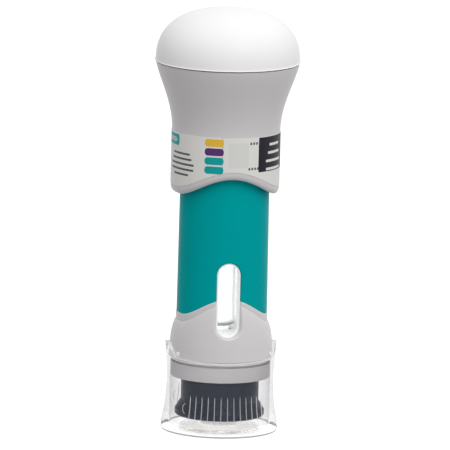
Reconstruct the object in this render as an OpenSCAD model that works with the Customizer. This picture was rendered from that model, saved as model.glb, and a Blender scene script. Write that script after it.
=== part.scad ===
// Prefilled injection pen, pushed down by the palm. A flared handle slides over a windowed body,
// a sprung guard hides the needle, and a clear cap takes the needle's shield off with it.
// Millimetres, +Z up, standing on its cap. The window faces -Y and +Y, the cap's ears +X and -X.

/* [Syringe] */
// Outer diameter of the glass barrel
barrel_d = 8.15; // [7.7:0.05:8.6]
// Bore of the glass barrel
barrel_bore_d = 6.35; // [5.8:0.05:6.8]
// Length of the barrel from its shoulder to the underside of its flange
barrel_l = 50.4; // [49.4:0.2:55]
// Height of the glass shoulder
shoulder_h = 1.7; // [1.3:0.1:2.2]
// Diameter of the glass cone that carries the needle
cone_d = 4.4; // [3.8:0.1:4.8]
// Length of the glass cone
cone_l = 9.6; // [8:0.2:11]
// Diameter of the finger flange
flange_d = 13.8; // [12:0.2:15]
// Width of the finger flange across its two flats
flange_w = 11; // [10:0.2:12]
// Thickness of the finger flange
flange_t = 1.9; // [1.5:0.1:2.4]
// Outer diameter of the needle
needle_d = 0.41; // [0.3:0.01:0.5]
// Length of needle that stands out of the cone
needle_l = 12.7; // [11:0.1:14]
// Length of the rubber stopper
stopper_l = 7.5; // [6:0.1:8]
// Distance between the stopper's top and the flange at rest
stopper_inset_l = 11.2; // [9:0.1:14]
// Free distance between the rod's tip and the stopper at rest
rod_gap = 4.9; // [2:0.1:6.5]

/* [Body] */
// Outer diameter of the body sleeve at its top
body_d = 27.2; // [26.6:0.1:29]
// Wall of the body sleeve
body_wall = 1.7; // [1.4:0.1:1.9]
// Extra radius of the sleeve at its foot, its moulding draft
body_draft_w = 0.25; // [0:0.05:0.3]
// Width of the viewing window
window_w = 7.6; // [6:0.1:8]
// Height of the viewing window, round ends included
window_h = 23.2; // [18:0.2:26]
// Rise of the arch that the nose's collar and the handle's edge share
arch_h = 5.85; // [3:0.05:7]
// Angle from the window's middle to the arch's foot
arch_angle = 72; // [55:1:80]

/* [Nose] */
// Depth of the nose below the syringe carrier's deck
nose_depth = 12.9; // [12:0.1:14]
// Height of the collar's crown above the underside of the deck
collar_h = 12.9; // [11:0.1:14]
// How far the bell stands out of the collar
bell_out_w = 1.8; // [1.2:0.1:2.4]
// Height of the skirt that the cap covers
skirt_h = 6.3; // [5:0.1:7]
// Wall of the nose's skirt
nose_wall = 1.2; // [1:0.1:1.4]

/* [Needle guard] */
// Distance that the guard retracts into the nose
guard_travel_l = 11.1; // [9:0.1:11.4]
// Wall of the guard's tube
guard_wall = 1; // [0.8:0.1:1.2]
// Height of the guard's flared foot, the ring that rests on the skin
guard_foot_h = 4.8; // [2:0.1:5.5]
// How far the needle's tip lies behind the guard's mouth at rest
needle_recess_l = 5.5; // [4:0.1:7]
// Width of the guard's two arms
arm_w = 6; // [4:0.2:8]
// Diameter of the guard spring's wire
spring_wire_d = 0.8; // [0.6:0.05:0.9]
// Number of curls of the guard spring
spring_turn_count = 9; // [6:1:11]

/* [Handle] */
// Wall of the handle shell
handle_wall = 1.45; // [1.2:0.05:1.8]
// How far the handle's mouth stands out of its waist
flare_out_w = 5.45; // [3:0.05:7]
// Height over which the handle flares
flare_h = 21.1; // [16:0.1:24]
// Height of the round lip on the handle's lower edge
lip_h = 1.6; // [1:0.1:2]
// Height of bare handle below the label
label_inset_h = 2.4; // [1.8:0.1:4]
// Height of the palm dome above the seam
dome_h = 16.2; // [14:0.1:18]
// Wall of the palm dome
dome_wall = 1.8; // [1.4:0.1:2.2]

/* [Bottom cap] */
// Thickness of the cap's floor
cap_floor_t = 2; // [1.6:0.1:3]
// Wall of the cap
cap_wall = 0.8; // [0.7:0.05:1.2]
// How far the cap's foot stands out of its wall
cap_flare_w = 1.55; // [0.8:0.05:2.5]
// Height at which the cap's flare is half gone
cap_waist_h = 6.8; // [5:0.1:9]
// Height of the ears above the nose's step
ear_h = 4.6; // [3:0.1:6]
// Number of grip ribs on each side
grip_rib_count = 13; // [9:2:15]

/* [Hidden] */
// Drawing values: circle facets, points on a curve and the overrun of every cut
$fn = 96;
curve_count = 12;
overrun = 1;

// Clearances: a sliding pair, a fit, a slack joint within one body and a limit's stop
slide_gap = 0.3;
fit_gap = 0.05;
seat_gap = 0.1;
stop_gap = 0.3;

// Syringe: radii
barrel_r = barrel_d / 2;
bore_r = barrel_bore_d / 2;
cone_r = cone_d / 2;
needle_r = needle_d / 2;
needle_bore_r = needle_r / 2;
rod_side_gap = 0.275;
rod_r = bore_r - rod_side_gap;
rod_rib_t = 0.9;
rod_rib_inset_w = 0.15;
rod_disc_t = 1.4;
rod_disc_count = 5;
stopper_r = bore_r - fit_gap;
stopper_stroke_l = barrel_l - seat_gap - stopper_l - stopper_inset_l;
stopper_rib_depth = 0.25;
stopper_rib_count = 3;

// Body: radii from the sleeve outwards and inwards
body_r = body_d / 2;
body_in_r = body_r - body_wall;
body_foot_r = body_r + body_draft_w;
body_rim_w = 1;
body_rim_r = body_r + body_rim_w;
body_rim_h = 1.5;
collar_step_w = 0.15;
collar_r = body_foot_r + collar_step_w;
collar_wall = 1;
collar_in_r = collar_r - collar_wall;
spigot_r = collar_in_r - fit_gap;
bell_r = collar_r + bell_out_w;
bell_foot_h = 3;
bell_round_h = 7.2;
bell_power = 1.5;
skirt_step_w = 0.6;
skirt_r = bell_r - skirt_step_w;
skirt_in_r = skirt_r - nose_wall;
ledge_h = 1.2;
pip_r = 0.75;
pip_out_h = 0.25;
pip_foot_h = 1.3;
pip_angle = 64;

// Needle guard and spring: radii
guard_r = body_in_r;
guard_in_r = guard_r - guard_wall;
guard_floor_t = 1.4;
guard_edge_w = 0.4;
guard_foot_r = skirt_in_r - slide_gap;
guard_foot_rim_h = 1.8;
ledge_in_r = guard_r + slide_gap;
arm_t = 1.1;
arm_r = body_in_r - slide_gap;
arm_in_r = arm_r - arm_t;
hook_w = 0.9;
hook_h = 1.4;
hook_r = arm_in_r - hook_w;
spring_r = hook_r - slide_gap - spring_wire_d / 2;
mouth_floor_w = 0.9;
guard_mouth_r = spring_r - mouth_floor_w;
spring_end_pitch_share = 1.6;
spring_ring_count = 8;
spring_side_count = 6;
band_w = 0.9;
band_depth = 0.5;
band_gap = 0.4;

// Needle shield and puller: radii
sheath_wall = 0.65;
needle_room_r = 0.6;
rubber_r = cone_r + fit_gap + sheath_wall;
shield_wall = 0.65;
shield_in_r = rubber_r + fit_gap;
shield_r = shield_in_r + shield_wall;
shield_groove_depth = 0.3;
finger_t = 1.1;
finger_slot_w = 1.2;
finger_in_r = shield_r + seat_gap;
finger_r = finger_in_r + finger_t;
puller_foot_out_w = 1;
puller_foot_r = finger_r + puller_foot_out_w;
puller_foot_t = 1.2;

// Heights, from the cap's foot up
guard_gap = 2.5;
guard_z = cap_floor_t + guard_gap;
tip_z = guard_z + needle_recess_l;
cone_z = tip_z + needle_l;
shoulder_z = cone_z + cone_l;
barrel_z = shoulder_z + shoulder_h;
flange_z = barrel_z + barrel_l;
flange_top_z = flange_z + flange_t;
deck_drop_h = 0.9;
deck_t = 1.8;
deck_fall_h = 0.9;
deck_top_z = shoulder_z - deck_drop_h;
deck_z = deck_top_z - deck_t;
deck_edge_z = deck_top_z - deck_fall_h;
nose_z = deck_z - nose_depth;
step_z = nose_z + skirt_h;
collar_z = deck_z + collar_h;
window_sill_h = 0.1;
window_z = deck_edge_z - window_sill_h;
window_top_z = window_z + window_h;
plug_t = 0.7;
body_top_z = flange_top_z + plug_t;
body_rim_z = body_top_z - body_rim_h;
retainer_t = 0.8;
retainer_top_z = body_top_z + retainer_t;
retainer_edge_w = 0.4;
rod_hole_gap = 0.5;

// Syringe carrier
carrier_r = body_in_r - seat_gap;
deck_r = collar_in_r - fit_gap;
deck_bore_r = shield_r + slide_gap;
deck_flat_r = carrier_r;
channel_x = barrel_r + seat_gap;
channel_t = 1.2;
tie_t = 1.2;
tie_gap = 3.4;
shelf_t = 1.5;
damper_t = 1.5;
damper_inset_w = 0.125;
shelf_z = flange_z - damper_t - shelf_t;
cup_wall = 1.2;
slot_gap = 0.3;
arm_slot_edge_w = 0.2;
hook_z = deck_surface_z(hook_r) + stop_gap;
arm_top_z = hook_z + hook_h;
guard_top_z = deck_z - guard_travel_l - stop_gap;
band_z = guard_top_z - band_gap - band_w;

// Handle
handle_in_gap = 0.5;
handle_in_r = body_rim_r + handle_in_gap;
handle_r = handle_in_r + handle_wall;
mouth_r = handle_r + flare_out_w;
mouth_edge_w = 0.5;
handle_travel_l = stopper_stroke_l + rod_gap;
nest_gap = 0.8;
handle_z = collar_z + handle_travel_l + nest_gap;
lip_depth_share = 0.72;
lip_count = 5;
plate_z = retainer_top_z + handle_travel_l + stop_gap;
plate_t = 1.8;
plate_r = 10;
head_t = 0.9;
head_r = 4.5;
boss_h = 2.1;
boss_rib_t = 1.2;
boss_rib_count = 3;
dome_top_z = plate_z + plate_t + boss_h + dome_wall;
seam_z = dome_top_z - dome_h;
seam_gap = 0.3;
handle_top_z = seam_z - seam_gap;
flare_z = seam_z - flare_h;
flare_start_power = 1.35;
flare_end_power = 2;
around_count = 96;
socket_h = 2.2;
socket_wall = 1.7;
socket_r = mouth_r - socket_wall;
spigot_wall = 1.2;
label_t = 0.12;
label_top_gap = 0.2;
label_seam_angle = 1.5;
label_start_angle = -11.25;
ring_top_z = body_rim_z - stop_gap;
ring_inset_h = 1.1;
ring_z = handle_z + ring_inset_h;
ring_in_r = body_foot_r + slide_gap;

// Palm dome
dome_r = mouth_r + fit_gap;
dome_power = 2.4;
dome_lip_w = 0.25;
dome_lip_h = 0.7;
dome_seat_w = 0.7;

// Bottom cap
cap_in_r = skirt_r + seat_gap * 2;
cap_r = cap_in_r + cap_wall;
cap_ledge_z = step_z - stop_gap;
cap_rim_gap = 0.4;
cap_rim_z = step_z - cap_rim_gap;
cap_rim_rise_h = 1;
cap_rim_angle = 62.2;
cap_neck_h = 5.6;
cap_flare_power = 3;
ear_gap = 0.35;
ear_in_r = bell_r + ear_gap;
ear_root_wall = 0.55;
ear_wall = 0.95;
ear_root_r = ear_in_r + ear_root_wall;
ear_r = ear_in_r + ear_wall;
ear_tip_w = 3.5;
ear_z = step_z + ear_h;
foot_edge_w = 0.6;
foot_ring_w = 4;
foot_recess_h = 0.5;
floor_round_r = 0.8;
locating_h = 0.8;
grip_rib_w = 0.45;
grip_rib_t = 0.35;
grip_rib_angle = 6.85;
grip_rib_h = 8.7;
grip_rib_z = 4;

// Shared geometry

// Angle from the nearer window's middle, 0 at the front and back and 90 at the sides
function fold_angle(t) = let (m = ((t % 180) + 180) % 180) m > 90 ? 180 - m : m;

// How far the arched edge lies below its crown at the angle t from the front
function arch_drop(t) = arch_h * (1 - cos(180 * min(fold_angle(t), arch_angle) / arch_angle)) / 2;

// Point at radius r and height z, at the angle t from the front towards +X
function around(r, t, z) = [r * sin(t), -r * cos(t), z];

// Top of the sloped sill that the carrier's deck makes
function deck_surface_z(r) = deck_top_z - deck_fall_h * (r - deck_bore_r) / (deck_flat_r - deck_bore_r);

// Radius of the handle's outside at the height z
function flare_share(z) = min(1, max(0, (seam_z - z) / flare_h));
function handle_outer_r(z) =
    handle_r + flare_out_w * pow(1 - pow(flare_share(z), flare_start_power), flare_end_power);

// Radius of the cap's outside at the height z
function cap_outer_r(z) = cap_r + cap_flare_w / (1 + pow(z / cap_waist_h, cap_flare_power));

// Quarter of a superellipse from (r, 0) to (0, h)
function quarter(r, h, power, count) =
    [for (i = [0:count]) let (a = 90 * i / count) [r * pow(cos(a), 2 / power), h * pow(sin(a), 2 / power)]];

module revolve(points) {
    rotate_extrude() polygon(points);
}

module tube(r, in_r, z, h) {
    translate([0, 0, z]) difference() {
        cylinder(r = r, h = h);
        translate([0, 0, -overrun]) cylinder(r = in_r, h = h + 2 * overrun);
    }
}

// Everything above the arched edge, as one block drawn through from front to back
module above_arch(r, crown_z, top_z) {
    edge = [for (i = [-curve_count:curve_count])
        let (t = 90 * i / curve_count) [r * sin(t), crown_z - arch_drop(t)]];
    side_z = crown_z - arch_h;
    far = r + overrun;
    rotate([90, 0, 0]) linear_extrude(2 * far, center = true)
        polygon(concat(edge, [[far, side_z], [far, top_z], [-far, top_z], [-far, side_z]]));
}

// Window cut, a slot with round ends drawn through from front to back
module window_cut() {
    r = window_w / 2;
    depth = 2 * (bell_r + overrun);
    for (z = [window_z + r, window_top_z - r])
        translate([0, 0, z]) rotate([90, 0, 0]) cylinder(r = r, h = depth, center = true);
    translate([-r, -depth / 2, window_z + r]) cube([window_w, depth, window_h - window_w]);
}

// Skin through a row of rings that all have the same number of points. The rings run
// counter-clockwise about +Z, and the points of each run counter-clockwise in radius and height.
module loft(rings, closed) {
    m = len(rings[0]);
    n = len(rings);
    last = closed ? n - 1 : n - 2;
    sides = [for (i = [0:last], j = [0:m - 1])
        let (a = i * m + j, b = (i + 1) % n * m + j, c = (i + 1) % n * m + (j + 1) % m, d = i * m + (j + 1) % m)
        each [[a, d, c], [a, c, b]]];
    start_cap = [for (j = [m - 1:-1:0]) j];
    end_cap = [for (j = [0:m - 1]) (n - 1) * m + j];
    polyhedron([for (ring = rings) each ring], closed ? sides : concat(sides, [start_cap, end_cap]));
}

// Housing

module body_sleeve() {
    color("teal") difference() {
        revolve([
            [body_in_r, deck_edge_z], [body_foot_r, deck_edge_z], [body_foot_r, collar_z - arch_h],
            [body_r, body_rim_z], [body_rim_r, body_rim_z], [body_rim_r, body_top_z], [body_in_r, body_top_z]
        ]);
        difference() {
            tube(body_foot_r + overrun, spigot_r, deck_edge_z - overrun, collar_z - deck_edge_z + overrun);
            above_arch(collar_r, collar_z, collar_z + overrun);
        }
        window_cut();
    }
}

// Bell round from the widest part of the nose up to its collar
function bell_points() =
    [for (p = quarter(bell_out_w, bell_round_h, bell_power, curve_count))
        [collar_r + p[0], step_z + bell_foot_h + p[1]]];

module nose_shell() {
    color("gainsboro") difference() {
        union() {
            revolve(concat(
                [[skirt_in_r, nose_z], [skirt_r, nose_z], [skirt_r, step_z], [bell_r, step_z]],
                bell_points(),
                [[collar_r, collar_z], [collar_in_r, collar_z], [collar_in_r, deck_z], [ledge_in_r, deck_z],
                 [ledge_in_r, deck_z - ledge_h], [skirt_in_r, deck_z - ledge_h]]));
            for (t = [pip_angle, 180 - pip_angle, 180 + pip_angle, -pip_angle])
                rotate([0, 0, t]) translate([0, 0, step_z + pip_foot_h]) rotate([90, 0, 0])
                    translate([0, 0, skirt_r]) cylinder(r = pip_r, h = bell_r + pip_out_h - skirt_r);
        }
        above_arch(collar_r, collar_z, collar_z + overrun);
        window_cut();
    }
}

// Moulded frame in the sleeve: the deck with its sloped sill, two channel walls, ties and the flange's cup
module syringe_carrier() {
    color("whitesmoke") difference() {
        union() {
            revolve([
                [deck_bore_r, deck_z], [deck_r, deck_z], [deck_r, deck_edge_z], [deck_flat_r, deck_edge_z],
                [deck_bore_r, deck_top_z]
            ]);
            intersection() {
                cylinder(r = carrier_r, h = shelf_z + shelf_t);
                for (side = [-1, 1])
                    translate([side * (channel_x + channel_t / 2) - channel_t / 2, -carrier_r, deck_z])
                        cube([channel_t, 2 * carrier_r, shelf_z + shelf_t - deck_z]);
            }
            for (z = [window_top_z + tie_gap, (window_top_z + tie_gap + shelf_z) / 2])
                tube(carrier_r, barrel_r + seat_gap, z, tie_t);
            tube(carrier_r, barrel_r + slide_gap, shelf_z, shelf_t);
            tube(carrier_r, carrier_r - cup_wall, shelf_z, flange_top_z - shelf_z);
        }
        for (side = [-1, 1]) intersection() {
            tube(arm_r + arm_slot_edge_w, arm_in_r - slot_gap, deck_z - overrun, deck_t + 2 * overrun);
            translate([side * arm_r - arm_r / 2, -arm_w / 2 - slot_gap, deck_z - overrun])
                cube([arm_r, arm_w + 2 * slot_gap, deck_t + 2 * overrun]);
        }
    }
}

module flange_damper() {
    color("dimgray")
        tube(flange_d / 2 - damper_inset_w, barrel_r + seat_gap, flange_z - damper_t, damper_t);
}

module flange_retainer() {
    hole_r = rod_r + rod_hole_gap;
    color("whitesmoke") revolve([
        [hole_r, flange_top_z], [carrier_r, flange_top_z], [carrier_r, body_top_z],
        [body_rim_r - retainer_edge_w, body_top_z],
        [body_rim_r - retainer_edge_w, retainer_top_z - retainer_edge_w],
        [body_rim_r - 2 * retainer_edge_w, retainer_top_z], [hole_r, retainer_top_z]
    ]);
}

module syringe_barrel() {
    channel_r = needle_r + fit_gap;
    color("lightcyan") difference() {
        union() {
            revolve(concat(
                [[0, cone_z], [cone_r, cone_z], [cone_r, shoulder_z]],
                [for (i = [1:curve_count / 2]) let (a = 180 * i / curve_count)
                    [cone_r + (barrel_r - cone_r) * sin(a), barrel_z - shoulder_h * cos(a)]],
                [[barrel_r, flange_z + flange_t / 2], [0, flange_z + flange_t / 2]]));
            intersection() {
                translate([0, 0, flange_z]) cylinder(d = flange_d, h = flange_t);
                translate([-flange_d / 2, -flange_w / 2, flange_z]) cube([flange_d, flange_w, flange_t]);
            }
        }
        revolve([
            [0, cone_z - overrun], [channel_r, cone_z - overrun], [channel_r, shoulder_z], [bore_r, barrel_z],
            [bore_r, flange_top_z + overrun], [0, flange_top_z + overrun]
        ]);
    }
}

module needle() {
    length = needle_l + cone_l / 2;
    bevel = 4 * needle_d;
    color("silver") translate([0, 0, tip_z]) difference() {
        cylinder(r = needle_r, h = length);
        translate([0, 0, -overrun]) cylinder(r = needle_bore_r, h = length + 2 * overrun);
        rotate([90, 0, 0]) linear_extrude(2 * needle_d, center = true)
            polygon([
                [-needle_r, 0], [needle_r, bevel], [needle_d, bevel], [needle_d, -overrun], [-needle_r, -overrun]
            ]);
    }
}

// Needle guard

// Tube with a flared foot, a floor for the spring, and two arms that hook over the carrier's deck
module needle_guard() {
    arm_foot_z = guard_top_z - hook_h * 3;
    color("darkslategray") difference() {
        union() {
            revolve([
                [guard_mouth_r, guard_z], [guard_foot_r - guard_edge_w, guard_z],
                [guard_foot_r, guard_z + guard_edge_w], [guard_foot_r, guard_z + guard_foot_rim_h],
                [guard_r, guard_z + guard_foot_h],
                [guard_r, guard_top_z], [guard_in_r, guard_top_z], [guard_in_r, guard_z + guard_floor_t],
                [guard_mouth_r, guard_z + guard_floor_t]
            ]);
            for (side = [-1, 1]) intersection() {
                union() {
                    tube(arm_r, arm_in_r, arm_foot_z, arm_top_z - arm_foot_z);
                    tube(arm_r, hook_r, hook_z, hook_h);
                }
                translate([side * arm_r - arm_r / 2, -arm_w / 2, arm_foot_z])
                    cube([arm_r, arm_w, arm_top_z - arm_foot_z]);
            }
        }
        tube(guard_r + overrun, guard_r - band_depth, band_z, band_w);
    }
}

module lock_band() {
    color("gold") tube(guard_r - fit_gap, guard_r - band_depth, band_z + fit_gap, band_w - 2 * fit_gap);
}

// Height of the wire's centre after u curls: close end curls, even ones between
spring_foot_z = guard_z + guard_floor_t + spring_wire_d / 2;
spring_head_z = deck_z - spring_wire_d / 2;
spring_end_pitch = spring_wire_d * spring_end_pitch_share;
function spring_wire_z(u) =
    let (span = spring_head_z - spring_foot_z - 2 * spring_end_pitch, inner = spring_turn_count - 2)
    u < 1 ? spring_foot_z + u * spring_end_pitch
    : u < 1 + inner ? spring_foot_z + spring_end_pitch + (u - 1) * span / inner
    : spring_head_z - (spring_turn_count - u) * spring_end_pitch;

// Least clear distance between the wire's own curls, measured on its centre line
module print_spring_gap() {
    count = spring_turn_count * spring_ring_count;
    centres = [for (i = [0:count]) let (u = i / spring_ring_count) around(spring_r, 360 * u, spring_wire_z(u))];
    gaps = [for (i = [0:count], j = [i + spring_ring_count / 2:count]) norm(centres[i] - centres[j])];
    echo(least_gap_between_spring_curls = min(gaps) - spring_wire_d);
}

module guard_spring() {
    wire_r = spring_wire_d / 2;
    print_spring_gap();
    color("silver") loft([for (i = [0:spring_turn_count * spring_ring_count])
        let (u = i / spring_ring_count)
        [for (j = [0:spring_side_count - 1]) let (a = 360 * (j + 0.5) / spring_side_count)
            around(spring_r + wire_r * cos(a), 360 * u, spring_wire_z(u) + wire_r * sin(a))]], false);
}

// Bottom cap

// Clear cap: flared wall, hollow foot, grip ribs, and a rim cut from the front so that two ears stand up
module bottom_cap() {
    neck_z = cap_rim_z - cap_neck_h;
    locating_r = puller_foot_r + seat_gap;
    color("aliceblue", 0.4) {
        difference() {
            union() {
                revolve(concat(
                    [[0, foot_recess_h], [cap_r - foot_ring_w, foot_recess_h], [cap_r - foot_ring_w, 0],
                     [cap_outer_r(0) - foot_edge_w, 0]],
                    [for (i = [0:curve_count]) let (z = foot_edge_w + (neck_z - foot_edge_w) * i / curve_count)
                        [cap_outer_r(z), z]],
                    [[ear_root_r, cap_ledge_z], [ear_r, ear_z], [0, ear_z]]));
                grip_ribs();
            }
            revolve([
                [0, cap_floor_t], [cap_in_r - floor_round_r, cap_floor_t],
                [cap_in_r, cap_floor_t + floor_round_r], [cap_in_r, cap_ledge_z],
                [ear_in_r, cap_ledge_z], [ear_in_r, ear_z + overrun], [0, ear_z + overrun]
            ]);
            cap_rim_cut();
        }
        tube(locating_r + cap_wall, locating_r, foot_recess_h, cap_floor_t + locating_h - foot_recess_h);
    }
}

// Outline over the rim: a shallow dip in the middle and a slanted edge up to each ear's tip
module cap_rim_cut() {
    rim_x = ear_root_r * sin(cap_rim_angle);
    tip_x = sqrt(ear_r * ear_r - ear_tip_w * ear_tip_w / 4);
    top_z = ear_z + overrun;
    rim = [for (i = [-curve_count:curve_count])
        let (s = i / curve_count) [s * rim_x, cap_rim_z + cap_rim_rise_h * s * s]];
    rotate([90, 0, 0]) linear_extrude(2 * (ear_r + overrun), center = true)
        polygon(concat([[-tip_x, top_z], [-tip_x, ear_z]], rim, [[tip_x, ear_z], [tip_x, top_z]]));
}

module grip_ribs() {
    intersection() {
        revolve(concat([[cap_in_r, grip_rib_z + grip_rib_h], [cap_in_r, grip_rib_z]],
            [for (i = [0:curve_count]) let (s = i / curve_count, z = grip_rib_z + grip_rib_h * s)
                [cap_outer_r(z) + grip_rib_t * sin(180 * s), z]]));
        for (face = [0, 180], i = [0:grip_rib_count - 1])
            rotate([0, 0, face + grip_rib_angle * (i - (grip_rib_count - 1) / 2)])
                translate([-grip_rib_w / 2, -ear_r - overrun, 0]) cube([grip_rib_w, ear_r, ear_z]);
    }
}

// Height of the groove round the shield that the puller's fingers grip
function grip_z() = tip_z + finger_t * 3;

// Sleeve on the cap's floor, slit into four fingers whose barbs sit in the shield's groove
module shield_puller() {
    top_z = grip_z() + finger_t;
    color("whitesmoke") difference() {
        union() {
            tube(puller_foot_r, finger_in_r, cap_floor_t, puller_foot_t);
            tube(finger_r, finger_in_r, cap_floor_t, top_z - cap_floor_t);
            revolve([
                [finger_in_r + fit_gap, grip_z() - finger_t / 2],
                [shield_r - shield_groove_depth + fit_gap, grip_z() - finger_t / 4],
                [shield_r - shield_groove_depth + fit_gap, grip_z() + finger_t / 4],
                [finger_in_r + fit_gap, grip_z() + finger_t / 2]
            ]);
        }
        for (a = [45, 135])
            rotate([0, 0, a])
                translate([-finger_r - overrun, -finger_slot_w / 2, cap_floor_t + 2 * puller_foot_t])
                    cube([2 * (finger_r + overrun), finger_slot_w, top_z]);
    }
}

function shield_z() = cap_floor_t + puller_foot_t + guard_gap / 2;
function shield_top_z() = deck_top_z - finger_t / 2;

module rigid_needle_shield() {
    color("gainsboro") revolve([
        [0, shield_z()], [shield_r, shield_z()], [shield_r, grip_z() - finger_t / 2 - fit_gap],
        [shield_r - shield_groove_depth, grip_z() - finger_t / 4 - fit_gap],
        [shield_r - shield_groove_depth, grip_z() + finger_t / 4 + fit_gap],
        [shield_r, grip_z() + finger_t / 2 + fit_gap], [shield_r, shield_top_z()], [shield_in_r, shield_top_z()],
        [shield_in_r, shield_z() + shield_wall], [0, shield_z() + shield_wall]
    ]);
}

module shield_rubber() {
    foot_z = shield_z() + shield_wall;
    color("silver") revolve([
        [0, foot_z], [rubber_r, foot_z], [rubber_r, shield_top_z()], [cone_r + fit_gap, shield_top_z()],
        [cone_r + fit_gap, cone_z - slide_gap], [needle_room_r, cone_z - slide_gap],
        [needle_room_r, tip_z - needle_room_r], [0, tip_z - needle_room_r]
    ]);
}

// Handle

// Wall section of the handle at the angle t, counter-clockwise from the lip's outer foot
function handle_section(t) =
    let (
        edge_z = handle_z - arch_drop(t),
        lip_depth = handle_wall * lip_depth_share,
        inner_lip = handle_wall - lip_depth,
        mouth_z = handle_top_z - mouth_edge_w,
        socket_z = handle_top_z - socket_h
    )
    concat(
        [for (i = [0:lip_count]) let (a = 90 * i / lip_count)
            [handle_r - lip_depth * (1 - sin(a)), edge_z + lip_h * (1 - cos(a))]],
        [for (i = [0:curve_count])
            let (z = flare_z + (mouth_z - flare_z) * i / curve_count) [handle_outer_r(z), z]],
        [[handle_outer_r(handle_top_z) - mouth_edge_w / 2, handle_top_z], [socket_r, handle_top_z],
         [socket_r, socket_z]],
        [for (i = [curve_count - 1:-1:0])
            let (z = flare_z + (socket_z - handle_wall - flare_z) * i / (curve_count - 1))
            [handle_outer_r(z) - handle_wall, z]],
        [[handle_in_r, edge_z + inner_lip]]);

module handle_shell() {
    color("whitesmoke") loft([for (i = [0:around_count - 1]) let (t = 360 * i / around_count)
        [for (p = handle_section(t)) around(p[0], t, p[1])]], true);
}

// Paper strip wrapped round the handle, its lower edge along the arch, with a narrow seam
module handle_label() {
    top_z = flare_z - label_top_gap;
    end_angle = label_start_angle + 360 - label_seam_angle;
    color("lightgray") loft([for (i = [0:around_count]) let (
            t = min(label_start_angle + 360 * i / around_count, end_angle),
            low_z = handle_z - arch_drop(t) + label_inset_h)
        [around(handle_r, t, low_z), around(handle_r + label_t, t, low_z),
         around(handle_r + label_t, t, top_z), around(handle_r, t, top_z)]], false);
}

// Domed shell with a spigot in the handle's socket, a ring round the rod's plate and crossed ribs above it
module palm_dome() {
    outer = [for (p = quarter(dome_r, dome_h, dome_power, 2 * curve_count)) [p[0], seam_z + p[1]]];
    inner = [for (p = quarter(dome_r - dome_wall, dome_h - dome_wall, dome_power, 2 * curve_count))
        [p[0], seam_z + p[1]]];
    spigot_out = socket_r - seat_gap;
    color("white") {
        difference() {
            union() {
                revolve(concat([[0, seam_z]], outer));
                revolve([
                    [0, seam_z], [dome_r + dome_lip_w, seam_z],
                    [dome_r + dome_lip_w, seam_z + dome_lip_h / 2], [dome_r, seam_z + dome_lip_h],
                    [0, seam_z + dome_lip_h]
                ]);
            }
            revolve(concat([[0, seam_z - overrun], [dome_r - dome_wall, seam_z - overrun]], inner));
        }
        revolve([
            [spigot_out - spigot_wall, handle_top_z - socket_h + seat_gap],
            [spigot_out, handle_top_z - socket_h + seat_gap], [spigot_out, handle_top_z],
            [socket_r + dome_seat_w, handle_top_z], [socket_r + dome_seat_w, seam_z + dome_lip_h],
            [spigot_out - spigot_wall, seam_z + dome_lip_h]
        ]);
        intersection() {
            revolve(concat([[0, seam_z]], outer));
            union() {
                tube(plate_r + seat_gap + spigot_wall, plate_r + seat_gap, plate_z, dome_h);
                for (i = [0:boss_rib_count - 1]) rotate([0, 0, 180 * i / boss_rib_count])
                    translate([-plate_r - spigot_wall, -boss_rib_t / 2, plate_z + plate_t])
                        cube([2 * (plate_r + spigot_wall), boss_rib_t, dome_h]);
            }
        }
    }
}

// Cross-ribbed rod with stiffening discs, a tip that pushes the stopper and a head held by the plate
module plunger_rod() {
    rod_z = stopper_top_z() + rod_gap + fit_gap;
    rod_l = plate_z + plate_t - rod_z;
    color("lightgray") {
        translate([0, 0, rod_z]) {
            intersection() {
                cylinder(r = rod_r - rod_rib_inset_w, h = rod_l);
                for (a = [0, 90]) rotate([0, 0, a])
                    translate([-rod_r, -rod_rib_t / 2, 0]) cube([2 * rod_r, rod_rib_t, rod_l]);
            }
            for (i = [0:rod_disc_count - 1])
                translate([0, 0, i * (rod_l - rod_disc_t) / rod_disc_count]) cylinder(r = rod_r, h = rod_disc_t);
        }
        translate([0, 0, plate_z + plate_t - head_t]) cylinder(r = head_r, h = head_t);
    }
}

module rod_plate() {
    color("whitesmoke") difference() {
        translate([0, 0, plate_z]) cylinder(r = plate_r, h = plate_t);
        translate([0, 0, plate_z - overrun]) cylinder(r = rod_r + seat_gap, h = plate_t + 2 * overrun);
        translate([0, 0, plate_z + plate_t - head_t]) cylinder(r = head_r + seat_gap, h = head_t + overrun);
    }
}

module guide_ring() {
    color("gainsboro") tube(handle_in_r - fit_gap, ring_in_r, ring_z, ring_top_z - ring_z);
}

// Stopper

function stopper_z() = barrel_z + stopper_stroke_l + seat_gap;
function stopper_top_z() = stopper_z() + stopper_l;

// Ribbed rubber stopper: sealing ribs with shallow grooves between them
module stopper() {
    pitch = stopper_l / (2 * stopper_rib_count - 1);
    color("dimgray") {
        translate([0, 0, stopper_z()]) cylinder(r = stopper_r - stopper_rib_depth, h = stopper_l);
        for (i = [0:stopper_rib_count - 1])
            translate([0, 0, stopper_z() + 2 * i * pitch]) cylinder(r = stopper_r, h = pitch);
    }
}

body_sleeve();
nose_shell();
syringe_carrier();
flange_damper();
flange_retainer();
syringe_barrel();
needle();
needle_guard();
lock_band();
guard_spring();
bottom_cap();
shield_puller();
rigid_needle_shield();
shield_rubber();
handle_shell();
palm_dome();
handle_label();
plunger_rod();
rod_plate();
guide_ring();
stopper();
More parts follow.
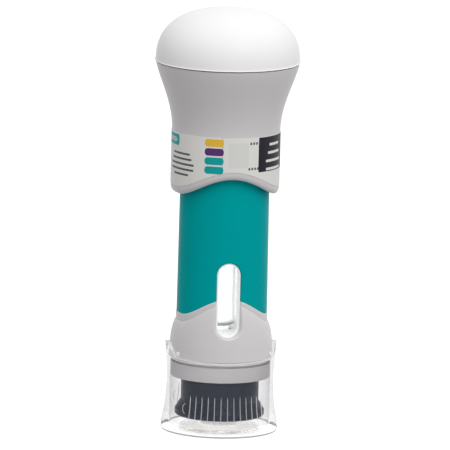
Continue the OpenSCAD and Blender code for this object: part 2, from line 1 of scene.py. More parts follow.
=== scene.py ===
import bpy
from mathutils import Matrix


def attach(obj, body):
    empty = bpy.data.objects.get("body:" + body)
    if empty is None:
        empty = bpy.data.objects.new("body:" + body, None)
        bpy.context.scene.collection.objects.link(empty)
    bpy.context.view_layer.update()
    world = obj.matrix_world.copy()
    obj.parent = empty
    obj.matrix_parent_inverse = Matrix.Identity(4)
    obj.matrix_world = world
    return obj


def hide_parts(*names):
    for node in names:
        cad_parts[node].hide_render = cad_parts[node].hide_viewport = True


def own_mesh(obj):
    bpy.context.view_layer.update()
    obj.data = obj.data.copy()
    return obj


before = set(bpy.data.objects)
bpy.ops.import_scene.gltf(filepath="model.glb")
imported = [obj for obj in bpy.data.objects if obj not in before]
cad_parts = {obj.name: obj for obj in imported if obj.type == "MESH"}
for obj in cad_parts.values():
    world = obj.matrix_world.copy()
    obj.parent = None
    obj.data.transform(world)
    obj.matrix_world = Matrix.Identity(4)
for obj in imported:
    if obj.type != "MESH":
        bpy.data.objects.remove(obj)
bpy.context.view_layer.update()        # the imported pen: bodies, nodes, joints and record

import bpy, bmesh, math
from mathutils import Vector, Matrix
from mathutils.geometry import delaunay_2d_cdt


# Camera. A long lens 4 m off, turned a little to the pen's left and lifted about ten degrees.
# The photograph is 137.5 mm wide at the pen's axis, and the pen leans a degree and a half in it.
mm = 0.001


def in_mm(*sizes):
    """Sizes given in millimetres, as metres."""
    return [size * mm for size in sizes]


view_turn, view_lift, view_lean = math.radians(-8.7), math.radians(9.9), math.radians(1.42)
view_far, view_width, aim_z, aim_side = 4.0, 137.5 * mm, 63.2 * mm, 0.37 * mm
film_width = 36
camera_back = Vector((math.sin(view_turn) * math.cos(view_lift), -math.cos(view_turn) * math.cos(view_lift),
                      math.sin(view_lift)))
camera_right = Vector((math.cos(view_turn), math.sin(view_turn), 0))
camera_up = camera_back.cross(camera_right)
leaned_right = camera_right * math.cos(view_lean) + camera_up * math.sin(view_lean)
leaned_up = camera_up * math.cos(view_lean) - camera_right * math.sin(view_lean)


def add_object(name, data):
    """New object in the scene, at the origin."""
    made = bpy.data.objects.new(name, data)
    bpy.context.scene.collection.objects.link(made)
    return made


lens = bpy.data.cameras.new("photo_camera")
lens.sensor_width = film_width
lens.lens = film_width * view_far / view_width
lens.clip_start, lens.clip_end = 0.1, 50
photo_camera = add_object("photo_camera", lens)
aim = Vector((0, 0, aim_z)) + camera_right * aim_side
turn = Matrix((leaned_right, leaned_up, camera_back)).transposed()
photo_camera.matrix_world = Matrix.Translation(aim + camera_back * view_far) @ turn.to_4x4()
bpy.context.scene.camera = photo_camera


# Floor and light. A pale table in a white light tent that is brightest overhead and a little dimmer to the
# left; one large panel stands high at the front right. Table and tent look white to the eye, in gloss and
# through clear walls.
table_half, table_glow, tent_lean, tent_middle = 6, 0.8, (0.09, 0.0, 0.50), 0.46
panel_width, panel_watts = 0.7, 4.3
panel_place, panel_aim = Vector((0.20, -0.70, 0.82)), Vector((0, 0, 0.08))
bpy.context.scene.view_settings.view_transform = "Standard"


def feed(tree, node, inputs):
    """Sets inputs of a node, each to a value or to another node's output."""
    for key, value in inputs.items():
        if isinstance(value, bpy.types.NodeSocket):
            tree.links.new(value, node.inputs[key])
        else:
            node.inputs[key].default_value = value


def add_node(tree, kind, inputs={}, out=0, **settings):
    """Adds a node with its settings and its inputs; gives one of its outputs, or all where out is None."""
    node = tree.nodes.new(kind)
    for key, value in settings.items():
        setattr(node, key, value)
    feed(tree, node, inputs)
    return node.outputs if out is None else node.outputs[out]


def maths(tree):
    """Gives a function that adds a math node to a tree: its operation, then values or outputs."""
    signs = {"+": "ADD", "-": "SUBTRACT", "*": "MULTIPLY", "/": "DIVIDE"}
    return lambda sign, *values: add_node(tree, "ShaderNodeMath", dict(enumerate(values)),
                                          operation=signs.get(sign, sign))


def seen_directly(tree):
    """1 where a ray comes from the camera, a gloss or a clear wall, 0 where it carries light."""
    calc, path = maths(tree), add_node(tree, "ShaderNodeLightPath", out=None)
    either = calc("MAXIMUM", path["Is Camera Ray"], path["Is Glossy Ray"])
    return calc("MAXIMUM", either, path["Is Transmission Ray"])


def new_material(name):
    """New material, its tree and its shader."""
    material = bpy.data.materials.new(name)
    material.use_nodes = True
    return material, material.node_tree, material.node_tree.nodes["Principled BSDF"]


tent = bpy.data.worlds.new("light_tent")
bpy.context.scene.world = tent
tent.use_nodes = True
tree = tent.node_tree
sky_lean = add_node(tree, "ShaderNodeVectorMath", {0: add_node(tree, "ShaderNodeTexCoord"), 1: tent_lean},
                    "Value", operation="DOT_PRODUCT")
tent_level = add_node(tree, "ShaderNodeMix", {
    "Factor": seen_directly(tree), "A": maths(tree)("+", sky_lean, tent_middle), "B": 1.0}, "Result",
    data_type="FLOAT")
feed(tree, tree.nodes["Background"], {"Color": (1, 1, 1, 1), "Strength": tent_level})

floor_mesh = bpy.data.meshes.new("table")
corners = [(x * table_half, y * table_half, 0) for x, y in ((-1, -1), (1, -1), (1, 1), (-1, 1))]
floor_mesh.from_pydata(corners, [], [(0, 1, 2, 3)])
floor = add_object("table", floor_mesh)
table_white, tree, shader = new_material("table_white")
feed(tree, shader, {"Base Color": (0.4, 0.4, 0.4, 1), "Roughness": 0.9, "Specular IOR Level": 0.0,
                    "Emission Color": (1, 1, 1, 1),
                    "Emission Strength": maths(tree)("*", seen_directly(tree), table_glow)})
floor_mesh.materials.append(table_white)

lamp = bpy.data.lights.new("high_front_panel", "AREA")
lamp.shape, lamp.size, lamp.energy = "DISK", panel_width, panel_watts
panel_turn = (panel_place - panel_aim).to_track_quat("Z", "Y").to_matrix().to_4x4()
add_object("high_front_panel", lamp).matrix_world = Matrix.Translation(panel_place) @ panel_turn


# Body sleeve. Injection-moulded tube of glossy teal plastic that holds the syringe. Its foot is arched
# to meet the nose, and one window on the front and one at the back show the barrel.
body_foot_r, body_top_r, body_in_r = in_mm(13.85, 13.6, 11.9)
body_rim_r, body_rim_z, body_top_z, rim_edge = in_mm(14.6, 85.5, 87.0, 0.3)
collar_z, arch_h, arch_angle = 42.5 * mm, 5.85 * mm, 72.0
window_half_w, window_z, window_top_z = in_mm(3.85, 30.4, 53.6)
window_round, foot_round, edge_step, row_gap, arc_step = 0.42 * mm, 0.16 * mm, 0.4 * mm, 0.05 * mm, 0.085
spigot_r, spigot_low_z, spigot_high_z, weld = in_mm(12.95, 30.6, 44.0, 0.002)
arch_foot_z = collar_z - arch_h


def arch_drop(t):
    """How far the arched edge lies below its crown, t degrees from the front towards +X."""
    m = t % 180
    return arch_h * (1 - math.cos(math.pi * min(m, 180 - m, arch_angle) / arch_angle)) / 2


def arch_lean(s, r):
    """Length of the arched edge per length along a wall of radius r, s along the wall."""
    t = math.degrees(s / r)
    return math.hypot(1, (arch_drop(t + 0.5) - arch_drop(t - 0.5)) / (r * math.radians(1)))


def edge_z(s, r):
    """Height of the arched edge between nose and sleeve."""
    return collar_z - arch_drop(math.degrees(s / r))


def window_distance(s, z):
    """Distance from the window's outline, s along the wall from the window's middle."""
    middle = min(max(z, window_z + window_half_w), window_top_z - window_half_w)
    return math.hypot(s, z - middle) - window_half_w


def round_depth(distance, radius):
    """How deep a rounded edge lies at a distance from the edge."""
    if distance >= radius:
        return 0.0
    return radius - math.sqrt(max(0.0, radius * radius - (radius - max(distance, 0.0)) ** 2))


def steps(a, b, count):
    """Values from a to b in a count of like steps."""
    return [a + (b - a) * i / count for i in range(count + 1)]


def spread(a, b, step):
    """Values from a up to, but without, b, about a step apart."""
    return steps(a, b, max(1, round(abs(b - a) / step)))[:-1]


def window_arc(way, w):
    """Arc w off the middle of the window's upper round (way -1) or lower round (way 1)."""
    middle = window_z + window_half_w if way > 0 else window_top_z - window_half_w
    return [(way * w * math.cos(a), middle - way * w * math.sin(a)) for a in spread(0.0, math.pi, arc_step)]


def wall_vert(mesh, t, r, z):
    """Vertex at an angle from the front, a radius and a height."""
    return mesh.verts.new((r * math.sin(t), -r * math.cos(t), z))


def columns_of(mesh, section, turns):
    """One column of vertices for each angle in degrees, after the section there."""
    return [[wall_vert(mesh, math.radians(t), r, z) for r, z in section(t)] for t in turns]


def patterned_wall(mesh, outline, rings, r, low, high, grid_step, face_r):
    """Half a wall, meshed flat as (s, z) from its outline, rings of points beside it and a grid, then laid at
    its radius at each point; a copy turned to the back is joined at the sides."""
    points, near = [], {}

    def keep(p, gap=0.0):
        column, row = math.floor(p[0] / grid_step), math.floor(p[1] / grid_step)
        for i in range(-1, 2):
            for j in range(-1, 2):
                for q in near.get((column + i, row + j), ()):
                    if (q[0] - p[0]) ** 2 + (q[1] - p[1]) ** 2 < gap * gap:
                        return
        near.setdefault((column, row), []).append(p)
        points.append(Vector(p))

    for p in outline:
        keep(Vector(p))
    for ring, gap in rings:
        for p in ring:
            keep(p, gap)
    half = math.pi / 2 * r
    across, up = max(2, round(2 * half / grid_step)), max(2, round((high - low) / grid_step))
    for i in range(1, across):
        for j in range(1, up):
            keep((-half + 2 * half * i / across, low + (high - low) * (j + (i % 2) * 0.5 - 0.25) / up),
                 grid_step * 0.55)
    scale = 1000.0
    flat = [Vector((p[0] * scale, p[1] * scale)) for p in points]
    made, _, faces, _, _, _ = delaunay_2d_cdt(flat, [], [list(range(len(outline)))], 1, 1e-5)
    made = [(p.x / scale, p.y / scale) for p in made]
    verts = [wall_vert(mesh, s / r, face_r(s, z), z) for s, z in made]
    for face in faces:
        mesh.faces.new([verts[i] for i in face])
    copy = bmesh.ops.duplicate(mesh, geom=mesh.verts[:] + mesh.edges[:] + mesh.faces[:])["geom"]
    bmesh.ops.rotate(mesh, verts=[v for v in copy if isinstance(v, bmesh.types.BMVert)], cent=(0, 0, 0),
                     matrix=Matrix.Rotation(math.pi, 3, "Z"))
    bmesh.ops.remove_doubles(mesh, verts=mesh.verts, dist=weld)


def strip_between(mesh, lower, upper, closed=False):
    """Faces between two rows of vertices; a row that is one point repeated gives triangles."""
    for i in range(len(lower) if closed else len(lower) - 1):
        k = (i + 1) % len(lower)
        corners = list(dict.fromkeys((lower[i], lower[k], upper[k], upper[i])))
        if len(corners) > 2:
            mesh.faces.new(corners)


def skin(mesh, rows, joined=False, closed=False):
    """Strips from row to row, and from the last to the first where they are joined."""
    for a, b in zip(rows, rows[1:] + (rows[:1] if joined else [])):
        strip_between(mesh, a, b, closed)


def inner_walls(mesh, outline, end_z, pattern_r, first, wall_r, edge_round, edge_in_r):
    """Walls from the rounded edges of the window and the arch in to the bore, at the front and the back."""
    half = math.pi / 2 * pattern_r
    walk = [p for p in outline if abs(p[1] - end_z) > 0.01 * mm and abs(p[0]) < half - 1e-6]
    ends = [(way * half, edge_z(half, pattern_r)) for way in (first, -first)]
    for turned in (0.0, math.pi):
        rows = []
        for s, z in ends[:1] + walk + ends[1:]:
            on_window = abs(window_distance(s, z)) < 1e-5
            outer = wall_r(s / pattern_r, z) - (window_round if on_window else edge_round)
            inner = body_in_r if on_window else edge_in_r
            rows.append([wall_vert(mesh, s / pattern_r + turned, r, z)
                         for r in (outer, (outer + inner) / 2, inner)])
        skin(mesh, rows)


def settle(piece, body, nodes):
    """The piece rides on a body and stands for CAD nodes, which are hidden."""
    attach(piece, body)
    if nodes:
        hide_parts(*nodes)
    return piece


def finish_piece(name, mesh, body, nodes, slot_name, sharp, *materials):
    """Turns a bmesh into a smooth-shaded piece."""
    bmesh.ops.recalc_face_normals(mesh, faces=mesh.faces)
    data = bpy.data.meshes.new(name)
    mesh.to_mesh(data)
    mesh.free()
    for face in data.polygons:
        face.use_smooth = True
    data.set_sharp_from_angle(angle=math.radians(sharp))
    for material in materials:
        data.materials.append(material)
    return settle(add_object(name, data), body, nodes)


def ring_of(mesh, r, z, count, start=0.0):
    """Ring of vertices round the axis, or one point repeated on it."""
    if r < 1e-7:
        return [mesh.verts.new((0, 0, z))] * count
    return [wall_vert(mesh, start + t, r, z) for t in steps(0, 2 * math.pi, count)[:-1]]


def lathe(mesh, outline, count=180, joined=False, start=0.0):
    """Turned wall through an outline of (radius, z)."""
    rows = [ring_of(mesh, r, z, count, start) for r, z in outline]
    skin(mesh, rows, joined, True)
    return rows


def arc_points(centre, radius, start, end, count):
    """Points of a fillet between two angles, in degrees."""
    turns = [math.radians(a) for a in steps(start, end, count)]
    return [(centre[0] + radius * math.cos(a), centre[1] + radius * math.sin(a)) for a in turns]


def node_group(name, kind, inputs, outputs, output_kind):
    """Node group with named inputs: its tree, what it is given, its end and the inputs' identifiers."""
    tree, ids = bpy.data.node_groups.new(name, kind), {}
    for label, value in inputs.items():
        socket_kind = {float: "NodeSocketFloat", int: "NodeSocketInt"}.get(type(value), "NodeSocketMaterial")
        socket = tree.interface.new_socket(label, in_out="INPUT", socket_type=socket_kind)
        if value is not None:
            socket.default_value = value
        ids[label] = socket.identifier
    for label in outputs:
        tree.interface.new_socket(label, in_out="OUTPUT", socket_type=output_kind)
    return tree, tree.nodes.new("NodeGroupInput").outputs, tree.nodes.new("NodeGroupOutput"), ids


def noise(tree, place, size, detail=2, **more):
    inputs = {"Vector": place, "Scale": size, "Detail": detail, **more}
    return add_node(tree, "ShaderNodeTexNoise", inputs, "Fac")


def moulded_surface():
    """Node group for moulded plastic: slow flow marks, fine grain and hairline scuffs. It gives the tone
    to tint the colour with, the roughness and the height for a bump."""
    tree, given, end, _ = node_group("moulded_surface", "ShaderNodeTree", {
        "Flow Size": 60.0, "Grain Size": 1500.0, "Base Roughness": 0.3, "Roughness Spread": 0.06,
        "Grain Depth": 1.0, "Scuffs": 0.15}, ("Tone", "Roughness", "Height"), "NodeSocketFloat")
    calc, place = maths(tree), add_node(tree, "ShaderNodeTexCoord", out="Object")
    flow = noise(tree, place, given["Flow Size"], 3)
    grain = noise(tree, place, given["Grain Size"], 4, Roughness=0.6)
    stretch = add_node(tree, "ShaderNodeMapping", {"Vector": place, "Scale": (1.0, 1.0, 0.18)})
    scuff = noise(tree, stretch, 900.0)
    marks = add_node(tree, "ShaderNodeMapRange", {"Value": scuff, "From Min": 0.62, "From Max": 0.74})
    varied = calc("*", calc("-", flow, 0.5), given["Roughness Spread"])
    rough = calc("+", calc("+", given["Base Roughness"], varied), calc("*", marks, given["Scuffs"]))
    height = calc("+", calc("*", grain, given["Grain Depth"]), calc("*", flow, 0.4))
    feed(tree, end, {"Tone": flow, "Roughness": rough, "Height": height})
    return tree


moulded = moulded_surface()


def tone_mix(tree, factor, pale, deep):
    """Colour between two tones."""
    return add_node(tree, "ShaderNodeMix", {"Factor": factor, "A": (*pale, 1), "B": (*deep, 1)}, "Result",
                    data_type="RGBA")


def moulded_look(tree, shader, flow_size, grain_size, roughness, uneven, grain_depth, scuffs, bump=None):
    """Lays the moulded surface on a shader, with a bump of a strength and a depth; gives the tone."""
    surface = add_node(tree, "ShaderNodeGroup", {
        "Flow Size": flow_size, "Grain Size": grain_size, "Base Roughness": roughness,
        "Roughness Spread": uneven, "Grain Depth": grain_depth, "Scuffs": scuffs}, None, node_tree=moulded)
    feed(tree, shader, {"Roughness": surface["Roughness"]})
    if bump:
        feed(tree, shader, {"Normal": add_node(tree, "ShaderNodeBump", {
            "Strength": bump[0], "Distance": bump[1], "Height": surface["Height"]})})
    return surface["Tone"]


def plastic(name, pale, deep, roughness, grain_size, grain_depth, bump, gloss=0.5, painted_glow=0.0):
    """Moulded plastic between two tones of its colour; a glow, where given, is painted light."""
    material, tree, shader = new_material(name)
    tone = moulded_look(tree, shader, 60.0, grain_size, roughness, 0.06, grain_depth, 0.12, (bump, 0.04 * mm))
    feed(tree, shader, {"Base Color": tone_mix(tree, tone, pale, deep), "Specular IOR Level": gloss,
                        "Emission Color": (1, 1, 1, 1), "Emission Strength": painted_glow})
    return material


teal_plastic = plastic("teal_plastic", (0.0, 0.375, 0.39), (0.0, 0.35, 0.365), 0.27, 1300.0, 1.0, 0.10, 0.01)


def body_r(z):
    return body_foot_r + (body_top_r - body_foot_r) * max(0.0, (z - arch_foot_z) / (body_rim_z - arch_foot_z))


def body_face_r(s, z):
    """Radius of the sleeve's outside with its rounded edges."""
    foot = (z - edge_z(s, body_foot_r)) / arch_lean(s, body_foot_r)
    return body_r(z) - max(round_depth(window_distance(s, z), window_round), round_depth(foot, foot_round))


def wall_outline(r, way, far_z, side_step):
    """Outline of half a wall, from the arched edge over the window's notch to the sides and the far edge. The
    sleeve lies above the arch (way -1), the nose below it (way 1)."""
    half, w = way * math.pi / 2 * r, way * window_half_w
    middle = window_z + window_half_w if way > 0 else window_top_z - window_half_w
    notch_z, side_z = edge_z(window_half_w, r), edge_z(abs(half), r)
    points = [(s, edge_z(s, r)) for s in spread(half, w, edge_step)]
    points += [(w, z) for z in spread(notch_z, middle, edge_step)] + window_arc(way, window_half_w)
    points += [(-w, z) for z in spread(middle, notch_z, edge_step)]
    points += [(s, edge_z(s, r)) for s in spread(-w, -half, edge_step)]
    points += [(-half, z) for z in spread(side_z, far_z, side_step)]
    points += [(s, far_z) for s in spread(-half, half, abs(half) / 45)]
    return points + [(half, z) for z in spread(far_z, side_z, side_step)]


def edge_rings(r, way, distances, off):
    """Rows of points beside the window and the arched edge, for their rounded edges."""
    half, rings = math.pi / 2 * r, []
    straight = spread(window_z + window_half_w, collar_z + 0.5 * mm, edge_step) if way > 0 else \
        spread(collar_z - 2.0 * mm, window_top_z - window_half_w, edge_step)
    for d in distances:
        w = window_half_w + d * mm
        row = [(s, z) for z in straight if way * (edge_z(w, r) - z) > row_gap for s in (-w, w)]
        row += window_arc(way, w)
        row += [(s, edge_z(s, r) - way * d * mm * off * arch_lean(s, r))
                for s in spread(-half + edge_step, half, edge_step) if abs(s) > w]
        rings.append((row, row_gap))
    return rings


mesh = bmesh.new()
outline = wall_outline(body_foot_r, -1, body_rim_z, 1.0 * mm)
patterned_wall(mesh, outline, edge_rings(body_foot_r, -1, (0.06, 0.14, 0.26, 0.42, 0.8), 0.5), body_foot_r,
               arch_foot_z, body_rim_z, 1.1 * mm, body_face_r)
inner_walls(mesh, outline, body_rim_z, body_foot_r, -1, lambda t, z: body_r(z), foot_round, spigot_r)
# spigot inside the nose's collar, cut away beside the windows, and the bore
edge_t = math.asin((window_half_w + 0.02 * mm) / (spigot_r - 0.05 * mm))
for side in (0.0, math.pi):
    turns = [t + side for t in steps(edge_t, math.pi - edge_t, 72)]
    skin(mesh, [[wall_vert(mesh, t, r, z) for t in turns] for r, z in (
        (spigot_r, spigot_high_z), (spigot_r, spigot_low_z), (body_in_r, spigot_low_z),
        (body_in_r, window_top_z))])
lathe(mesh, [(body_r(body_rim_z), body_rim_z), (body_rim_r - rim_edge, body_rim_z)]
      + arc_points((body_rim_r - rim_edge, body_rim_z + rim_edge), rim_edge, -90, 0, 4)[1:]
      + arc_points((body_rim_r - rim_edge, body_top_z - rim_edge), rim_edge, 0, 90, 4)
      + [(body_in_r, body_top_z), (body_in_r, window_top_z)], 180)
bmesh.ops.remove_doubles(mesh, verts=mesh.verts, dist=weld)
finish_piece("teal_body_sleeve", mesh, "housing", ["body_sleeve"], "teal_gloss", 32, teal_plastic)


# Nose shell. White moulded bell snapped and welded on the sleeve's foot. Its collar follows the arch in a
# narrow band with a crease below it, and the clear cap seats on its step; four small pips click in the cap.
step_z, skirt_z, deck_z = in_mm(23.0, 16.7, 29.6)
bell_r, collar_r, collar_in_r = in_mm(15.8, 14.0, 13.0)
skirt_r, skirt_in_r, ledge_in_r = in_mm(15.2, 14.0, 12.2)
bell_foot_z, crease_r, band_h = in_mm(25.6, 13.90, 1.3)
band_h_side, crease_round, collar_round, step_round = in_mm(2.4, 0.45, 0.35, 0.3)
groove_z, groove_h, groove_depth, skirt_edge = in_mm(21.35, 0.7, 0.7, 0.25)
pip_angle, pip_r, pip_z, pip_out_r = 64, 0.8 * mm, step_z + 1.3 * mm, bell_r + 0.42 * mm
nose_plastic = plastic("nose_white_plastic", (0.72, 0.70, 0.705), (0.69, 0.67, 0.678), 0.36, 1500.0, 1.0,
                       0.12, 0.15)
# The pips are whiter and glossier than the bell, a painted highlight; the skirt is darker than the bell,
# painted shade where it sits inside the cap under the bell's step.
pip_highlight_plastic = plastic("pip_white_painted_highlight", (0.97, 0.97, 0.97), (0.94, 0.94, 0.94), 0.2, 1500.0, 1.0, 0.05)
skirt_shade_plastic = plastic("skirt_white_painted_shade", (0.49, 0.475, 0.48), (0.47, 0.455, 0.46), 0.36, 1500.0, 1.0,
                        0.12, 0.15)


def crease_z(t):
    side = arch_drop(t) / arch_h
    return collar_z - arch_drop(t) - band_h - (band_h_side - band_h) * side


def nose_r(t, z):
    """Radius of the nose's outside, t degrees from the front: bell, crease and collar band."""
    top = crease_z(t)
    if z >= top:
        rise = min(1.0, (z - top) / crease_round)
        return crease_r + (collar_r - crease_r) * math.sqrt(1 - (1 - rise) ** 2)
    if z <= bell_foot_z:
        return bell_r
    share = (z - bell_foot_z) / (top - bell_foot_z)
    power = 1.62
    curve = (1 - share ** power) ** (1 / power)
    return crease_r + (bell_r - crease_r) * curve


def nose_face_r(s, z):
    """Radius of the nose's outside with its rounded edges."""
    top = (edge_z(s, collar_r) - z) / arch_lean(s, collar_r)
    return nose_r(math.degrees(s / collar_r), z) - max(
        round_depth(window_distance(s, z), window_round), round_depth(top, collar_round),
        round_depth(z - step_z, step_round))


mesh = bmesh.new()
half = math.pi / 2 * collar_r
rings = edge_rings(collar_r, 1, (0.07, 0.16, 0.28, 0.45, 0.8), 0.62)
rings += [([(s, step_z + d * mm) for s in spread(-half + edge_step, half, half / 45)], row_gap)
          for d in (0.07, 0.16, 0.28)]
for above in (0.3, 0.17, 0.08, 0.03, 0.0, -0.06, -0.16, -0.34, -0.65):
    row = [(s, crease_z(math.degrees(s / collar_r)) + above * mm)
           for s in spread(-half + 0.3 * mm, half, edge_step * 0.9)]
    rings.append(([p for p in row if window_distance(*p) > row_gap], row_gap / 2))
outline = wall_outline(collar_r, 1, step_z, 0.6 * mm)
patterned_wall(mesh, outline, rings, collar_r, step_z, collar_z, 0.8 * mm, nose_face_r)
inner_walls(mesh, outline, step_z, collar_r, 1, lambda t, z: nose_r(math.degrees(t), z), collar_round,
            collar_in_r)
ledge_z, groove_top_z, groove_r = deck_z - 1.2 * mm, groove_z + groove_h, skirt_r - groove_depth
lathe(mesh, [(bell_r - step_round, step_z), (skirt_r, step_z), (skirt_r, groove_top_z),
             (groove_r, groove_top_z), (groove_r, groove_z), (skirt_r, groove_z),
             (skirt_r, skirt_z + skirt_edge)]
      + arc_points((skirt_r - skirt_edge, skirt_z + skirt_edge), skirt_edge, 0, -90, 3)[1:]
      + [(skirt_in_r + skirt_edge, skirt_z), (skirt_in_r, skirt_z + skirt_edge), (skirt_in_r, ledge_z),
         (ledge_in_r, ledge_z), (ledge_in_r, deck_z), (collar_in_r, deck_z)], 180, start=-math.pi / 2)
# pips: small round buttons with a soft edge, two at each side
turns = steps(0, 2 * math.pi, 24)[:-1]
for angle in (pip_angle, 180 - pip_angle, 180 + pip_angle, 360 - pip_angle):
    t = math.radians(angle)
    outward, along = Vector((math.sin(t), -math.cos(t), 0)), Vector((math.cos(t), math.sin(t), 0))
    rings = []
    for r, out in ((pip_r, skirt_r), (pip_r, pip_out_r - 0.16 * mm),
                   (pip_r - 0.05 * mm, pip_out_r - 0.06 * mm), (pip_r - 0.16 * mm, pip_out_r),
                   (0.0, pip_out_r + 0.03 * mm)):
        centre = outward * out + Vector((0, 0, pip_z))
        rings.append([mesh.verts.new(centre + along * (r * math.cos(a)) + Vector((0, 0, r * math.sin(a))))
                      for a in turns])
    skin(mesh, rings, closed=True)
bmesh.ops.remove_doubles(mesh, verts=mesh.verts, dist=weld)
nose_shell = finish_piece("white_nose_shell", mesh, "housing", ["nose_shell"], "nose_white", 35, nose_plastic,
                          pip_highlight_plastic, skirt_shade_plastic)
# pip faces take the whiter plastic, a painted highlight; faces below the groove take the darker skirt
# plastic, painted shade
for face in nose_shell.data.polygons:
    around = math.degrees(math.atan2(face.center.x, -face.center.y)) % 180
    beside = math.radians(min(around, 180 - around) - pip_angle) * bell_r
    on_pip = math.hypot(beside, face.center.z - pip_z) < pip_r * 1.02
    if on_pip and face.center.xy.length > bell_r - 0.05 * mm:
        face.material_index = 1
    elif face.center.z < groove_top_z:
        face.material_index = 2


# Syringe carrier, retainer and damper. The carrier is one satin white moulding with two long channel walls
# and a sloped deck, seen through the window; the retainer welds on top and the rubber damper lies in it.
liner_t, liner_r, liner_in_r, liner_step = 0.4 * mm, 13.35 * mm, body_in_r + 0.02 * mm, 0.6 * mm
# The carrier's white plastic glows faintly, painted light for the light that comes in through the window; the
# retainer, the window liner and the puller share it.
carrier_glow_plastic = plastic("carrier_white_painted_glow", (0.80, 0.80, 0.795), (0.77, 0.77, 0.765), 0.42, 1400.0,
                          1.0, 0.14, painted_glow=0.20)
ring_rubber = plastic("damper_grey_rubber", (0.16, 0.165, 0.17), (0.12, 0.125, 0.13), 0.6, 2200.0, 1.3, 0.3,
                      0.3)


def dress(node, material):
    """Gives a CAD node that keeps its shape the finish of its moulding."""
    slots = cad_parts[node].material_slots
    if not slots:
        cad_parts[node].data.materials.append(material)
    for place in slots:
        place.material = material


dress("syringe_carrier", carrier_glow_plastic)
dress("flange_retainer", carrier_glow_plastic)
mesh = bmesh.new()
low, top, outline = window_z + window_half_w, window_top_z - window_half_w, []
for side, start, end in ((1, low, top), (-1, top, low)):
    outline += [(side * window_half_w, z, side, 0.0) for z in spread(start, end, liner_step)]
    for a in spread(0.0, math.pi, 0.09):
        across, up = side * math.cos(a), side * math.sin(a)
        outline.append((window_half_w * across, end + window_half_w * up, across, up))
for turned in (0.0, math.pi):
    rows = [[wall_vert(mesh, (s - across * inset) / body_foot_r + turned, r, z - up * inset)
             for inset, r in ((0.03 * mm, liner_in_r), (0.03 * mm, liner_r - 0.1 * mm), (0.13 * mm, liner_r),
                              (liner_t - 0.12 * mm, liner_r), (liner_t, liner_r - 0.12 * mm),
                              (liner_t, liner_in_r))] for s, z, across, up in outline]
    skin(mesh, rows, True, True)
finish_piece("white_window_liner", mesh, "housing", [], "frame_white", 40, carrier_glow_plastic)
dress("flange_damper", ring_rubber)


# Syringe barrel. Drawn borosilicate glass with a round shoulder, a cone and a finger flange with two
# flats. The glass is polished and takes its look from its thickness and its round edges, and from painted
# light: a faint glow over the barrel and a stronger one on the cone. A grey band just above the shoulder
# is painted shade.
barrel_r, bore_r, cone_r, channel_r, turns = 4.075 * mm, 3.175 * mm, 2.2 * mm, 0.255 * mm, 96
cone_z, shoulder_z, barrel_z, flange_z, flange_top = in_mm(22.7, 32.3, 34.0, 84.4, 86.3)
flange_r, flange_half_w, flange_round, cone_round = in_mm(6.9, 5.5, 0.5, 0.25)
shoulder_h, shoulder_shade_h = in_mm(1.7, 1.25)


def clear_material(name, colour, ior, roughness, ripple_size, ripple, clearness, edge=None, painted_glow=0.0):
    """Clear glass or plastic: plain transmission with a slight ripple. An edge tone darkens it seen edge on,
    painted shade for the dark outlines of clear walls; a glow, where given, is painted light.
    """
    material, tree, shader = new_material(name)
    moulded_look(tree, shader, ripple_size, 1800.0, roughness, roughness * 0.5, 0.04, 0.02,
                 (ripple, 0.1 * mm))
    tone = (*colour, 1)
    if edge:
        tone = tone_mix(tree, add_node(tree, "ShaderNodeLayerWeight", out="Facing"), colour, edge)
    feed(tree, shader, {"Base Color": tone, "Transmission Weight": clearness, "IOR": ior,
                        "Specular IOR Level": 0.25, "Emission Color": (1, 1, 1, 1),
                        "Emission Strength": painted_glow})
    return material


barrel_glass_painted_glow = clear_material("barrel_glass_painted_glow", (0.90, 0.905, 0.91), 1.045, 0.02, 90.0, 0.04, 0.45, painted_glow=0.12)
shoulder_shade_glass = clear_material("barrel_shoulder_painted_shade", (0.50, 0.50, 0.52), 1.02, 0.4, 90.0, 0.0, 0.08)
cone_glow_glass = clear_material("barrel_cone_painted_glow", (0.95, 0.95, 0.95), 1.02, 0.3, 90.0, 0.04, 0.5, painted_glow=0.3)


def flange_ring(r, z):
    """Round with two flats, as the flange is drawn in the flame and pressed."""
    row, limit = ring_of(mesh, r, z, turns), flange_half_w - (flange_r - r)
    for vert in row:
        vert.co.y = max(-limit, min(limit, vert.co.y))
    return row


mesh = bmesh.new()
rows = lathe(mesh, [(channel_r, cone_z), (cone_r - cone_round, cone_z)]
             + arc_points((cone_r - cone_round, cone_z + cone_round), cone_round, -90, 0, 4)[1:]
             + [(cone_r, shoulder_z - 0.3 * mm)]
             + [(cone_r + (barrel_r - cone_r) * math.sin(a), barrel_z - shoulder_h * math.cos(a))
                for a in spread(0.1, math.pi / 2, 0.14)]
             + [(barrel_r, barrel_z), (barrel_r, flange_z - flange_round)], turns)
flange = [flange_ring(flange_r - inset, z) for inset, z in (
    (flange_round, flange_z), (0.15 * mm, flange_z + 0.15 * mm), (0.0, flange_z + flange_round),
    (0.0, flange_top - flange_round), (0.15 * mm, flange_top - 0.15 * mm), (flange_round, flange_top))]
bore = [ring_of(mesh, r, z, turns) for r, z in (
    (bore_r + flange_round, flange_top), (bore_r, flange_top - flange_round), (bore_r, barrel_z),
    (channel_r + 0.2 * mm, shoulder_z + 0.25 * mm), (channel_r, shoulder_z))]
skin(mesh, [rows[-1], ring_of(mesh, barrel_r + flange_round, flange_z, turns), *flange, *bore, rows[0]],
     closed=True)
glass_barrel = finish_piece("glass_barrel", mesh, "housing", ["syringe_barrel"], "glass", 50, barrel_glass_painted_glow,
                            shoulder_shade_glass, cone_glow_glass)
